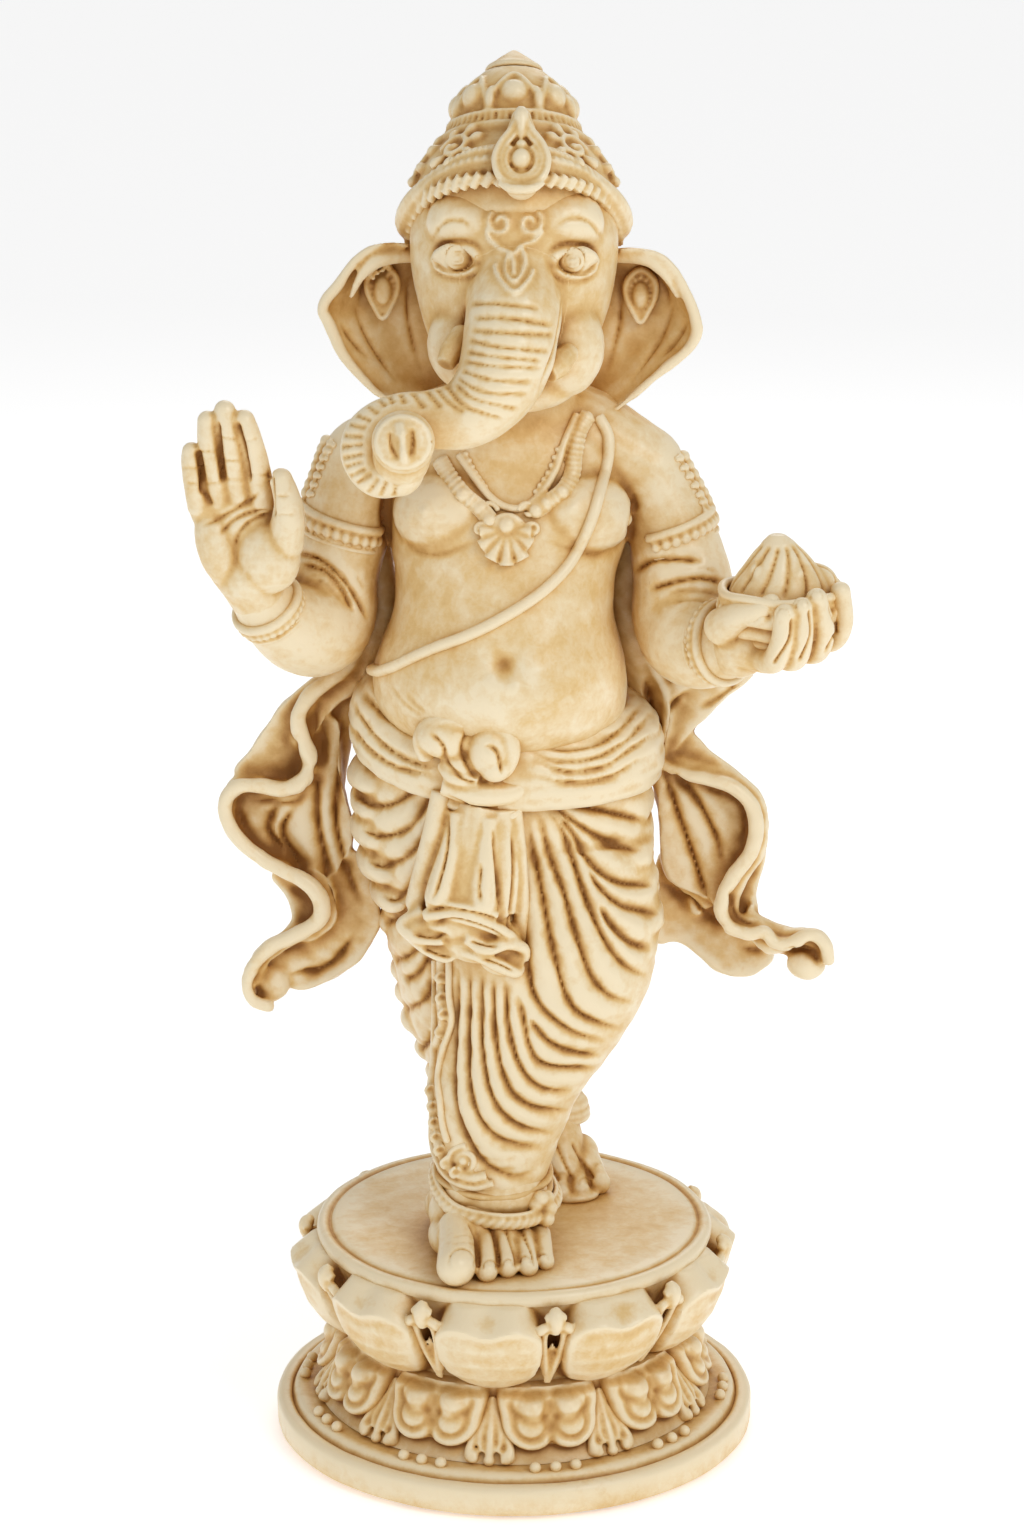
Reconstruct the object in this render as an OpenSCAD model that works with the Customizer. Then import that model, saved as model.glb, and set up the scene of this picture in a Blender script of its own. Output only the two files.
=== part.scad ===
// Standing elephant-headed figure on a double lotus pedestal.
// Origin: centre of the underside of the felt pad. +Z up, the figure faces -Y.
// "Right" and "left" are the figure's own: its right side lies at -X.

/* [Overall] */
// Height of the whole object to the tip of the crown
total_h = 600; // [560:1:640]
// Radius of the plinth
plinth_r = 105; // [100:1:120]

/* [Pedestal] */
// Thickness of the felt pad
felt_t = 1.5; // [1:0.1:3]
// Height of the plinth's upper ring above the floor
plinth_top = 17; // [15:0.5:20]
// Height of the waist between the two lotuses
waist_z = 47; // [42:0.5:50]
// Radius of the waist between the two lotuses
waist_r = 68; // [60:1:74]
// Radius of the standing disc
disc_r = 86.6; // [80:0.2:94]
// Thickness of the standing disc
disc_t = 6; // [4:0.5:8]
// Number of petals in each lotus
petal_count = 10; // [8:1:12]
// Number of beads between two leaves
beads_per_gap = 3; // [2:1:4]

/* [Body] */
// Half width of the belly
belly_r = 52; // [48:0.5:56]
// Half width of the chest
chest_r = 50; // [46:0.5:54]
// Half width of the hips in their wrap
hip_r = 62; // [58:0.5:66]
// Half width of the head
head_r = 39; // [36:0.5:42]
// Radius of the trunk at its root
trunk_r = 19; // [16:0.5:21]
// Radius of the crown's lower band
crown_r = 42; // [39:0.5:45]
// Backward lean of the crown
crown_lean = 24; // [10:1:30]

/* [Limbs] */
// Radius of the upper arms
arm_r = 17; // [14:0.5:19]
// Radius of the wrists
wrist_r = 13; // [11:0.5:15]
// Radius of a finger
finger_r = 5; // [4:0.25:6]

/* [Jewellery] */
// Thickness of the moulded cords and bands
cord_r = 3; // [2:0.25:4]
// Radius of the sweet dish
dish_r = 25; // [22:0.5:28]
// Height of the sweet above the dish
sweet_h = 22; // [16:1:28]

/* [Inner fixings] */
// Diameter of the steel tie rod through the pedestal
rod_d = 8; // [6:0.5:10]
// Diameter of the steel pins in the legs
pin_d = 6; // [4:0.5:8]
// Diameter of the dowels in the neck, waist, shoulders and wrists
dowel_d = 8; // [6:0.5:10]
// Length of a shoulder or wrist dowel
dowel_l = 22; // [16:1:28]

/* [Hidden] */

resin = "wheat";
steel = "silver";
felt = "darkolivegreen";

petal_step = 360 / petal_count;
leaf_turn = -7;
petal_turn = leaf_turn + petal_step / 2;
disc_z = waist_z + 42;
floor_z = disc_z + disc_t;
sole_z = 95;
figure_top = 600;
neck_z = 466;
hip_z = 324;
thigh_z = 264;
crown_centre = [0, -12, 537];
crown_h = (figure_top - crown_centre[2]) / cos(crown_lean);
rod_bottom = 5;
rod_top = disc_z + 4;
nut_w = rod_d * 1.63;
nut_h = rod_d * 0.8;
washer_t = 2;
washer_r = rod_d * 1.5;
pocket_r = washer_r + 2;
pocket_top = rod_bottom + 2 + nut_h + washer_t;
right_shoulder = [-55, -3, 424];
left_shoulder = [53, -3, 424];
right_wrist = [-104, -42, 384];
right_way = [-10, -9, 17];
left_wrist = [86, -46, 368];
left_way = [20, -9, 3];
left_ankle = [-13, -22, 122];
right_ankle = [26, 46, 124];
dish_centre = [108, -56, 387];
ring_sides = 20;

// ---------- Shared shapes ----------

// A hand-shaped solid, taken as one smooth mesh
module sculpted() {
    resize([0, 0, 0]) union() children();
}

// Closed solid through level elliptical rings, each [z, centre x, centre y, half width, half depth]
module ring_stack(rings, n = ring_sides) {
    last = len(rings) - 1;
    points = [
        for (r = rings, i = [0 : n - 1])
            [r[1] + r[3] * cos(360 * i / n), r[2] + r[4] * sin(360 * i / n), r[0]]
    ];
    sides = [
        for (k = [0 : last - 1], i = [0 : n - 1])
            let (j = (i + 1) % n)
                each [[k * n + i, (k + 1) * n + i, k * n + j], [k * n + j, (k + 1) * n + i, (k + 1) * n + j]]
    ];
    bottom = [[for (i = [0 : n - 1]) i]];
    top = [[for (i = [n - 1 : -1 : 0]) last * n + i]];
    polyhedron(points, concat(sides, bottom, top));
}

// Chain of hulled balls, each [x, y, z, radius]
module limb(stops, n = 12) {
    for (i = [0 : len(stops) - 2])
        hull() {
            ball(stops[i], n);
            ball(stops[i + 1], n);
        }
}

module ball(stop, n = 12) {
    translate([stop[0], stop[1], stop[2]]) sphere(r = stop[3], $fn = n);
}

// Ribbon of cloth: each stop is [inner edge point, outer edge point]
module ribbon(stops, r, n = 8) {
    for (i = [0 : len(stops) - 2])
        hull() for (p = [stops[i][0], stops[i][1], stops[i + 1][0], stops[i + 1][1]])
            translate(p) sphere(r = r, $fn = n);
}

// Puts the children at a point with their Z axis turned along a direction
module along(point, way) {
    translate(point) rotate([0, atan2(norm([way[0], way[1]]), way[2]), atan2(way[1], way[0])]) children();
}

// Steel dowel centred on a joint
module dowel(point, way) {
    along(point, way) cylinder(d = dowel_d, h = dowel_l, center = true, $fn = 32);
}

// Stands the figure, drawn with its soles at sole_z, on the disc and brings its crown to total_h
module stand() {
    translate([0, 0, floor_z]) scale((total_h - floor_z) / (figure_top - sole_z))
        translate([0, 0, -sole_z]) children();
}

// Everything placed on the crown's leaning axis
module on_crown(up = 0) {
    translate(crown_centre) rotate([-crown_lean, 0, 0]) translate([0, 0, up]) children();
}

module around(turn, count = petal_count) {
    for (k = [0 : count - 1]) rotate(turn + k * 360 / count) children();
}

// ---------- Pedestal ----------

module felt_pad() {
    color(felt) cylinder(r = plinth_r - 6, h = felt_t, $fn = 96);
}

module base_plinth() {
    color(resin) difference() {
        rotate_extrude($fn = 96) polygon([
            [rod_d / 2, pocket_top], [pocket_r, pocket_top], [pocket_r, felt_t], [plinth_r - 1, felt_t],
            [plinth_r, felt_t + 1], [plinth_r, 13], [plinth_r - 2, 14.5], [plinth_r - 5.5, 14.5],
            [plinth_r - 6.5, 13.5], [plinth_r - 7.5, 16], [plinth_r - 9, plinth_top], [rod_d / 2, plinth_top]
        ]);
    }
}

drum_foot_r = plinth_r - 16;

module drum_solid() {
    translate([0, 0, plinth_top])
        cylinder(r1 = drum_foot_r, r2 = waist_r + 2, h = waist_z - plinth_top, $fn = 96);
}

module lower_lotus_drum() {
    color(resin) difference() {
        drum_solid();
        translate([0, 0, plinth_top - 1]) cylinder(d = rod_d, h = waist_z, $fn = 32);
    }
}

// One three-lobed petal lying on the drum's slope
module lower_petal() {
    translate([drum_foot_r - 9, 0, plinth_top + 12]) sphere(r = 11, $fn = 48);
    for (side = [-1, 1]) translate([drum_foot_r - 15, side * 10, plinth_top + 18]) sphere(r = 12, $fn = 48);
}

module lower_petals() {
    color(resin) around(petal_turn - 90) difference() {
        lower_petal();
        drum_solid();
        translate([0, 0, waist_z]) cylinder(r = plinth_r, h = 20);
    }
}

module lower_leaves() {
    color(resin) around(leaf_turn - 90) difference() {
        union() {
            translate([drum_foot_r - 2, 0, plinth_top + 4]) sphere(r = 5, $fn = 32);
            translate([drum_foot_r - 3, 0, plinth_top + 5]) rotate([0, -33, 0])
                cylinder(r1 = 4.5, r2 = 2, h = 22, $fn = 32);
        }
        drum_solid();
        for (side = [-1, 1]) rotate(side * petal_step / 2) lower_petal();
        cylinder(r = plinth_r, h = plinth_top);
    }
}

bead_r = 2.6;
module base_beads() {
    color(resin) around(petal_turn - 90) for (k = [0 : beads_per_gap - 1])
        rotate((k - (beads_per_gap - 1) / 2) * 5) translate([drum_foot_r + 4, 0, plinth_top + 1.6])
            difference() {
                sphere(r = bead_r, $fn = 32);
                translate([-5, -5, -11.6]) cube(10);
            }
}

module bowl_solid() {
    rotate_extrude($fn = 96) polygon([
        [0, waist_z], [waist_r, waist_z], [waist_r + 1, waist_z + 4], [waist_r + 5, waist_z + 14],
        [waist_r + 12, waist_z + 27], [waist_r + 16, waist_z + 36], [waist_r + 16, disc_z], [0, disc_z]
    ]);
}

module upper_lotus_bowl() {
    color(resin) difference() {
        bowl_solid();
        translate([0, 0, waist_z - 1]) cylinder(d = rod_d, h = 60, $fn = 32);
    }
}

module upper_petal() {
    translate([waist_r + 3, 0, waist_z + 19]) sphere(r = 20, $fn = 48);
    for (side = [-1, 1]) translate([waist_r + 13, side * 7, waist_z + 29]) sphere(r = 15, $fn = 48);
}

module petal_ring() {
    difference() {
        around(leaf_turn - 90) upper_petal();
        bowl_solid();
        translate([0, 0, disc_z]) cylinder(r = plinth_r + 20, h = 30);
        cylinder(r = plinth_r, h = waist_z + 1);
    }
}

module upper_petals() {
    color(resin) petal_ring();
}

module upper_buds() {
    color(resin) around(petal_turn - 90) difference() {
        union() {
            translate([waist_r + 19, 0, waist_z + 34]) sphere(r = 4.5, $fn = 32);
            translate([waist_r + 10, 0, waist_z + 14]) rotate([0, 24, 0])
                cylinder(r1 = 2, r2 = 4, h = 21, $fn = 32);
        }
        bowl_solid();
    }
}

module top_disc() {
    color(resin) difference() {
        rotate_extrude($fn = 96) polygon([
            [0, disc_z], [disc_r - 1, disc_z], [disc_r, disc_z + 1.2], [disc_r, disc_z + 3.5],
            [disc_r - 1.5, disc_z + 4.5], [disc_r - 4, disc_z + 4.5], [disc_r - 5.5, floor_z], [0, floor_z]
        ]);
        translate([0, 0, disc_z - 1]) cylinder(d = nut_w, h = 5, $fn = 6);
        stand() leg_pins_solid();
    }
}

module tie_rod() {
    color(steel) translate([0, 0, rod_bottom]) cylinder(d = rod_d, h = rod_top - rod_bottom, $fn = 32);
}

module hex_nut(z, h) {
    translate([0, 0, z]) difference() {
        cylinder(d = nut_w, h = h, $fn = 6);
        translate([0, 0, -1]) cylinder(d = rod_d, h = h + 2, $fn = 32);
    }
}

module tie_washer() {
    color(steel) translate([0, 0, pocket_top - washer_t]) difference() {
        cylinder(r = washer_r, h = washer_t, $fn = 48);
        translate([0, 0, -1]) cylinder(d = rod_d, h = washer_t + 2, $fn = 32);
    }
}

module tie_nut() {
    color(steel) hex_nut(pocket_top - washer_t - nut_h, nut_h);
}

module top_nut() {
    color(steel) hex_nut(disc_z, 4);
}

// ---------- Legs and feet ----------

pin_drop = 3;
module leg_pins_solid() {
    translate([left_ankle[0], left_ankle[1], sole_z - pin_drop]) cylinder(d = pin_d, h = 60, $fn = 32);
    translate([right_ankle[0], right_ankle[1], sole_z - pin_drop]) cylinder(d = pin_d, h = 44, $fn = 32);
}

module leg_pins() {
    color(steel) stand() leg_pins_solid();
}

toe_roots = [[-24, -56, 7.5], [-11, -52, 5.2], [-3, -49, 4.8], [5, -46, 4.5], [11, -42, 4.2]];
toe_tips = [[-22, -72, 6.5], [-11, -69, 4.6], [-3, -65, 4.4], [5, -63, 4.2], [11, -57, 3.8]];

module left_foot_solid() {
    limb([[-20, -14, sole_z + 16, 19], [-12, -38, sole_z + 10, 17]], 16);
    hull() {
        ball([-22, -48, sole_z + 6, 9]);
        ball([6, -42, sole_z + 5, 7]);
        ball([-12, -30, sole_z + 12, 16]);
    }
    for (k = [0 : 4])
        limb([[toe_roots[k][0], toe_roots[k][1], sole_z + 5, toe_roots[k][2]],
              [toe_tips[k][0], toe_tips[k][1], sole_z + 4, toe_tips[k][2]]]);
}

module right_foot_solid() {
    hull() {
        ball([26, 48, sole_z + 18, 12]);
        ball([30, 34, sole_z + 5, 11]);
    }
    for (k = [0 : 3])
        limb([[24 + 5 * k, 38, sole_z + 7, 5], [23 + 6 * k, 28 - 2 * (k % 2), sole_z + 3.5, 4]]);
}

anklet_base = sole_z + 22;
module left_foot() {
    color(resin) stand() difference() {
        sculpted() intersection() {
            left_foot_solid();
            translate([-100, -120, sole_z]) cube([200, 240, 27]);
        }
        leg_pins_solid();
    }
}

module right_foot() {
    color(resin) stand() difference() {
        sculpted() intersection() {
            right_foot_solid();
            translate([-100, -120, sole_z]) cube([200, 240, 27]);
        }
        leg_pins_solid();
    }
}

module left_leg_solid() {
    ring_stack([
        [anklet_base + 5, -10, -24, 24, 22], [144, -8, -24, 28, 24], [164, -3, -24, 32, 28],
        [186, 6, -22, 39, 32], [214, 12, -20, 44, 36], [238, 14, -16, 46, 38], [thigh_z, 12, -12, 48, 38]
    ]);
}

module right_leg_solid() {
    limb([
        [-32, 4, 244, 25], [-24, 10, 212, 26], [-14, 20, 184, 25], [4, 34, 158, 21], [24, 45, 138, 14]
    ], 14);
}

module left_leg_drape() {
    color(resin) stand() difference() {
        left_leg_solid();
        leg_pins_solid();
    }
}

module right_leg_drape() {
    color(resin) stand() difference() {
        sculpted() difference() {
            union() {
                right_leg_solid();
                limb([[-32, 4, 244, 25], [-34, 2, 262, 28]], 14);
            }
            left_leg_solid();
            translate([-120, -120, thigh_z]) cube(240);
            translate([-120, -120, -119]) cube([240, 240, 119 + anklet_base + 8]);
        }
        leg_pins_solid();
    }
}

module left_anklet() {
    color(resin) stand() sculpted() difference() {
        translate([-10, -27, sole_z + 23]) rotate([18, 8, 0])
            cylinder(r1 = 31, r2 = 30, h = 7, center = true, $fn = 28);
        left_foot_solid();
        left_leg_solid();
        leg_pins_solid();
    }
}

module right_anklet() {
    color(resin) stand() sculpted() difference() {
        translate([27, 45, anklet_base + 6]) cylinder(r1 = 16, r2 = 14, h = 4, $fn = 24);
        right_leg_solid();
        leg_pins_solid();
    }
}

// ---------- Hips and cloth ----------

module hip_solid() {
    ring_stack([
        [thigh_z, -3, -4, hip_r, 43], [278, -3, -4, hip_r + 1, 44], [296, -4, -5, hip_r, 44],
        [312, -3, -6, hip_r - 4, 43], [hip_z, -3, -6, hip_r - 10, 40]
    ]);
}

module waist_dowel_solid() {
    translate([0, 0, hip_z - 20]) cylinder(d = dowel_d, h = 40, $fn = 32);
}

module waist_dowel() {
    color(steel) stand() waist_dowel_solid();
}

module hip_wrap() {
    color(resin) stand() difference() {
        hip_solid();
        waist_dowel_solid();
    }
}

module sash_solid() {
    ring_stack([
        [298, -4, -6, hip_r + 2, 47], [304, -4, -6, hip_r + 4, 50], [316, -3, -6, hip_r + 1, 50],
        [328, -3, -7, hip_r - 5, 47]
    ]);
}

module waist_sash() {
    color(resin) stand() sculpted() difference() {
        sash_solid();
        hip_solid();
        torso_solid();
    }
}

module knot_solid() {
    hull() {
        ball([-30, -54, 320, 8]);
        ball([-18, -56, 326, 10]);
        ball([-6, -56, 322, 7]);
        ball([-18, -56, 314, 8]);
    }
}

module sash_knot() {
    color(resin) stand() sculpted() difference() {
        knot_solid();
        sash_solid();
        hip_solid();
        torso_solid();
    }
}

module tail_solid() {
    ribbon([
        [[-8, -55, 308], [-28, -55, 308]], [[-6, -56, 280], [-33, -55, 280]],
        [[-4, -56, 252], [-38, -52, 252]], [[2, -56, 240], [-44, -48, 236]]
    ], 4);
}

module sash_tail() {
    color(resin) stand() sculpted() difference() {
        tail_solid();
        knot_solid();
        sash_solid();
        hip_solid();
        left_leg_solid();
        right_leg_solid();
    }
}

module pleat_border() {
    color(resin) stand() sculpted() difference() {
        limb([
            [-30, -40, 228, 4.5], [-34, -30, 200, 4.5], [-34, -30, 170, 4.5],
            [-34, -33, 150, 4.5], [-26, -42, 134, 4.5]
        ], 10);
        left_leg_solid();
        right_leg_solid();
        tail_solid();
    }
}

// ---------- Torso ----------

module torso_solid() {
    ring_stack([
        [hip_z, -3, -8, belly_r - 6, 38], [338, -3, -12, belly_r - 1, 47], [352, -3, -14, belly_r, 50],
        [370, -3, -13, belly_r - 1, 48], [387, -3, -9, chest_r - 3, 42], [402, -3, -8, chest_r, 39],
        [418, -2, -6, chest_r + 3, 38], [432, -1, -4, chest_r + 5, 34], [444, 0, -3, chest_r, 30],
        [454, 0, -3, 36, 26], [neck_z, 0, -6, 24, 23]
    ]);
}

module neck_dowel_solid() {
    translate([0, -6, neck_z - 20]) cylinder(d = dowel_d, h = 40, $fn = 32);
}

module neck_dowel() {
    color(steel) stand() neck_dowel_solid();
}

module shoulder_dowels_solid() {
    dowel(right_shoulder, [1, 0, 0]);
    dowel(left_shoulder, [1, 0, 0]);
}

module shoulder_dowels() {
    color(steel) stand() shoulder_dowels_solid();
}

module torso() {
    color(resin) stand() difference() {
        torso_solid();
        waist_dowel_solid();
        neck_dowel_solid();
        shoulder_dowels_solid();
    }
}

module necklace_solid() {
    limb([
        [30, -26, 458, cord_r], [32, -36, 444, cord_r], [26, -42, 431, cord_r], [12, -46, 424, cord_r],
        [-4, -47, 423, cord_r], [-18, -45, 427, cord_r], [-28, -39, 438, cord_r], [-30, -27, 456, cord_r]
    ], 10);
}

module necklace() {
    color(resin) stand() sculpted() difference() {
        necklace_solid();
        torso_solid();
        head_solid();
        trunk_solid();
    }
}

module pendant_solid() {
    hull() {
        ball([-4, -47, 416, 6]);
        ball([-16, -46, 412, 4]);
        ball([9, -46, 412, 4]);
        ball([-4, -48, 405, 4]);
    }
}

module necklace_pendant() {
    color(resin) stand() sculpted() difference() {
        pendant_solid();
        torso_solid();
        necklace_solid();
    }
}

module sacred_thread() {
    color(resin) stand() sculpted() difference() {
        limb([
            [34, -32, 448, cord_r], [40, -38, 430, cord_r], [38, -42, 412, cord_r], [28, -49, 396, cord_r],
            [10, -56, 384, cord_r], [-14, -58, 374, cord_r], [-34, -52, 362, cord_r], [-50, -34, 350, cord_r]
        ], 10);
        torso_solid();
        necklace_solid();
        pendant_solid();
        left_arm_solid();
    }
}

// ---------- Head ----------

module head_solid() {
    ring_stack([
        [neck_z, 0, -10, 25, 25], [474, 0, -12, 31, 32], [486, 0, -13, head_r - 4, 36],
        [500, 0, -13, head_r - 1, 38], [514, 0, -13, head_r, 39], [530, 0, -12, head_r, 39], [544, 0, -10, head_r - 2, 37],
        [556, 0, -8, head_r - 6, 32]
    ]);
}

module above_crown_plane() {
    on_crown() translate([-100, -100, 0]) cube(200);
}

module head() {
    color(resin) stand() difference() {
        sculpted() difference() {
            head_solid();
            above_crown_plane();
        }
        neck_dowel_solid();
    }
}

module trunk_solid() {
    limb([
        [0, -40, 512, trunk_r - 4], [0, -52, 498, trunk_r], [-1, -58, 485, trunk_r],
        [-9, -67, 474, trunk_r - 4], [-25, -74, 468, trunk_r - 7], [-42, -76, 466, trunk_r - 8], [-53, -78, 457, trunk_r - 8],
        [-54, -84, 449, trunk_r - 8], [-47, -92, 450, trunk_r - 7], [-43, -94, 456, trunk_r - 7]
    ], 16);
}

module trunk() {
    color(resin) stand() sculpted() difference() {
        trunk_solid();
        head_solid();
        torso_solid();
        above_crown_plane();
    }
}

module tusk_solid(side) {
    if (side < 0) {
        limb([[-20, -50, 497, 4], [-23, -56, 488, 4.5], [-27, -62, 480, 4]], 10);
    } else {
        limb([[21, -48, 497, 4.5], [20, -56, 487, 5], [14, -62, 478, 4.5]], 10);
    }
}

module right_tusk() {
    color("peru") stand() sculpted() difference() {
        tusk_solid(-1);
        head_solid();
        trunk_solid();
    }
}

module left_tusk() {
    color("peru") stand() sculpted() difference() {
        tusk_solid(1);
        head_solid();
        trunk_solid();
    }
}

// Ear with a rolled upper rim
module ear_solid(side) {
    hull() {
        ball([side * 38, -6, 514, 4]);
        ball([side * 60, 0, 518, 4]);
        ball([side * 72, 2, 500, 4]);
        ball([side * 68, 2, 480, 4]);
        ball([side * 50, -2, 466, 4]);
        ball([side * 32, -8, 474, 4]);
    }
}

module ear_node(side) {
    sculpted() difference() {
        ear_solid(side);
        head_solid();
        torso_solid();
        above_crown_plane();
    }
}

module right_ear() {
    color(resin) stand() ear_node(-1);
}

module left_ear() {
    color(resin) stand() ear_node(1);
}

module earring_node(side) {
    sculpted() difference() {
        hull() {
            ball([side * 53, -7, 513, 3], 10);
            ball([side * 53, -7, 504, 6], 10);
            ball([side * 53, -7, 495, 3], 10);
        }
        ear_solid(side);
        head_solid();
    }
}

module right_earring() {
    color(resin) stand() earring_node(-1);
}

module left_earring() {
    color(resin) stand() earring_node(1);
}

// ---------- Crown ----------

band_h = 10;
dome_base = crown_h - 27;
cap_h = crown_h - 14;

module crown_profile() {
    rotate_extrude($fn = 64) polygon([
        [0, 0], [crown_r - 2, 0], [crown_r - 1, band_h], [crown_r - 3, dome_base - 22],
        [crown_r - 11, dome_base - 8],
        [crown_r - 16, dome_base - 4], [crown_r - 14, dome_base], [crown_r - 19, dome_base + 6],
        [crown_r - 25, cap_h], [0, cap_h]
    ]);
}

module crown_body() {
    color(resin) stand() on_crown() crown_profile();
}

module crown_band() {
    color(resin) stand() on_crown() difference() {
        rotate_extrude($fn = 64) polygon([
            [crown_r - 4, 0.5], [crown_r + 1, 0.5], [crown_r + 2, 3], [crown_r + 2, 7],
            [crown_r + 1, 9.5], [crown_r - 4, 9.5]
        ]);
        crown_profile();
    }
}

module crown_finial() {
    color(resin) stand() on_crown(cap_h) rotate_extrude($fn = 48) polygon([
        [0, 0], [14, 0], [13, 2], [9, 6], [4, 11], [1.5, crown_h - cap_h - 1.5], [0, crown_h - cap_h]
    ]);
}

module crown_medallion() {
    color(resin) stand() on_crown() sculpted() difference() {
        hull() {
            translate([0, -crown_r, 14]) sphere(r = 9, $fn = 16);
            translate([0, -crown_r + 6, 28]) sphere(r = 5, $fn = 16);
        }
        crown_profile();
        cylinder(r = crown_r + 2.3, h = band_h, $fn = 64);
    }
}

// ---------- Arms ----------

module wrist_dowels_solid() {
    dowel(right_wrist, right_way);
    dowel(left_wrist, left_way);
}

module wrist_dowels() {
    color(steel) stand() wrist_dowels_solid();
}

module right_arm_solid() {
    limb([
        [-58, -3, 430, arm_r + 1], [-70, -4, 408, arm_r], [-76, -8, 382, arm_r - 2],
        [-80, -14, 364, arm_r - 1], [-92, -28, 366, arm_r - 2], [-100, -38, 378, wrist_r]
    ], 16);
}

module left_arm_solid() {
    limb([
        [56, -3, 430, arm_r + 1], [67, -6, 408, arm_r], [70, -12, 384, arm_r - 2], [66, -18, 362, arm_r - 1],
        [74, -34, 362, arm_r - 2], [82, -44, 368, wrist_r]
    ], 16);
}

// Space beyond a wrist joint's flat face
module beyond(point, way) {
    along(point, way) translate([-60, -60, 0]) cube(120);
}

module right_arm() {
    color(resin) stand() difference() {
        sculpted() difference() {
            right_arm_solid();
            torso_solid();
            beyond(right_wrist, right_way);
        }
        shoulder_dowels_solid();
        wrist_dowels_solid();
    }
}

module left_arm() {
    color(resin) stand() difference() {
        sculpted() difference() {
            left_arm_solid();
            torso_solid();
            beyond(left_wrist, left_way);
        }
        shoulder_dowels_solid();
        wrist_dowels_solid();
    }
}

finger_tops = [[-129, 452], [-123, 465], [-116, 470], [-107, 467]];
module right_hand_solid() {
    hull() {
        ball([-104, -42, 384, wrist_r]);
        ball([-100, -47, 402, 10]);
        ball([-118, -48, 404, 10]);
    }
    hull() {
        ball([-99, -49, 402, 9]);
        ball([-120, -50, 404, 9]);
        ball([-101, -52, 432, 8]);
        ball([-121, -52, 430, 8]);
    }
    for (k = [0 : 3])
        limb([
            [-122 + 7.5 * k, -53, 430 + k, finger_r],
            [finger_tops[k][0], -56, finger_tops[k][1] - finger_r, finger_r * 0.85]
        ]);
    limb([[-96, -50, 406, 8], [-91, -56, 426, 6], [-93, -58, 437, 5]]);
}

module right_hand() {
    color(resin) stand() difference() {
        sculpted() difference() {
            intersection() {
                right_hand_solid();
                beyond(right_wrist, right_way);
            }
            right_arm_clearance();
        }
        wrist_dowels_solid();
    }
}

// Keeps the hand off the outer face of the forearm
module right_arm_clearance() {
    difference() {
        right_arm_solid();
        beyond(right_wrist, right_way);
    }
}

module left_hand_solid() {
    hull() {
        ball([84, -46, 370, wrist_r]);
        ball([100, -50, 368, 11]);
        ball([104, -60, 368, 9]);
    }
    for (k = [0 : 3])
        limb([
            [100, -62 + 4 * k, 364 + k, finger_r + 1],
            [116 + 3 * k, -68 + 5 * k, 364 + 2 * k, finger_r + 0.5],
            [126 + 2 * k, -66 + 7 * k, 376 + k, finger_r]
        ]);
    limb([[90, -58, 374, 7], [100, -72, 380, 5.5]]);
}

module dish_solid() {
    translate([dish_centre[0], dish_centre[1], dish_centre[2] - 12])
        cylinder(r1 = dish_r - 9, r2 = dish_r, h = 14, $fn = 48);
}

module left_hand() {
    color(resin) stand() difference() {
        sculpted() difference() {
            intersection() {
                left_hand_solid();
                beyond(left_wrist, left_way);
            }
            dish_solid();
        }
        wrist_dowels_solid();
    }
}

module modak_dish() {
    color(resin) stand() dish_solid();
}

module modak() {
    color(resin) stand() translate([dish_centre[0] - 2, dish_centre[1], dish_centre[2] + 2])
        rotate_extrude($fn = 48) polygon([
            [0, 0], [14, 0], [17, 3], [16, 7], [11, 12], [5, 17], [1, sweet_h], [0, sweet_h]
        ]);
}

module band_on_arm(centre, way, r, h) {
    along(centre, way) cylinder(r = r, h = h, center = true, $fn = 24);
}

module right_armlet() {
    color(resin) stand() sculpted() difference() {
        band_on_arm([-70, -5, 408], [-6, -2, -22], arm_r + 3, 12);
        right_arm_solid();
        torso_solid();
    }
}

module left_armlet() {
    color(resin) stand() sculpted() difference() {
        band_on_arm([67, -7, 406], [4, -5, -22], arm_r + 3, 12);
        left_arm_solid();
        torso_solid();
    }
}

module right_bracelet() {
    color(resin) stand() sculpted() difference() {
        band_on_arm(right_wrist, right_way, wrist_r + 4, 7);
        right_arm_solid();
        right_hand_solid();
    }
}

module left_bracelet() {
    color(resin) stand() sculpted() difference() {
        band_on_arm(left_wrist, left_way, wrist_r + 4, 7);
        left_arm_solid();
        left_hand_solid();
        dish_solid();
    }
}

// ---------- Scarf ----------

scarf_r = 5;

module right_scarf() {
    color(resin) stand() sculpted() difference() {
        ribbon([
            [[-58, 22, 336], [-70, 20, 344]], [[-62, 22, 318], [-98, 16, 324]],
            [[-70, 20, 300], [-116, 12, 302]], [[-74, 18, 282], [-121, 10, 282]],
            [[-72, 16, 262], [-110, 10, 260]], [[-66, 14, 240], [-98, 10, 240]],
            [[-66, 12, 226], [-110, 8, 216]], [[-84, 10, 208], [-109, 6, 200]]
        ], scarf_r);
        hip_solid();
        right_leg_solid();
        sash_solid();
        torso_solid();
        right_arm_solid();
        back_scarf_solid();
    }
}

module left_scarf() {
    color(resin) stand() sculpted() difference() {
        ribbon([
            [[60, 22, 336], [82, 16, 338]], [[62, 22, 316], [80, 16, 322]], [[66, 20, 298], [92, 12, 300]],
            [[66, 18, 276], [102, 10, 278]], [[66, 14, 256], [98, 8, 252]], [[68, 12, 236], [118, 6, 230]],
            [[78, 10, 222], [130, 4, 216]]
        ], scarf_r);
        hip_solid();
        left_leg_solid();
        sash_solid();
        torso_solid();
        left_arm_solid();
        back_scarf_solid();
    }
}

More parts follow.
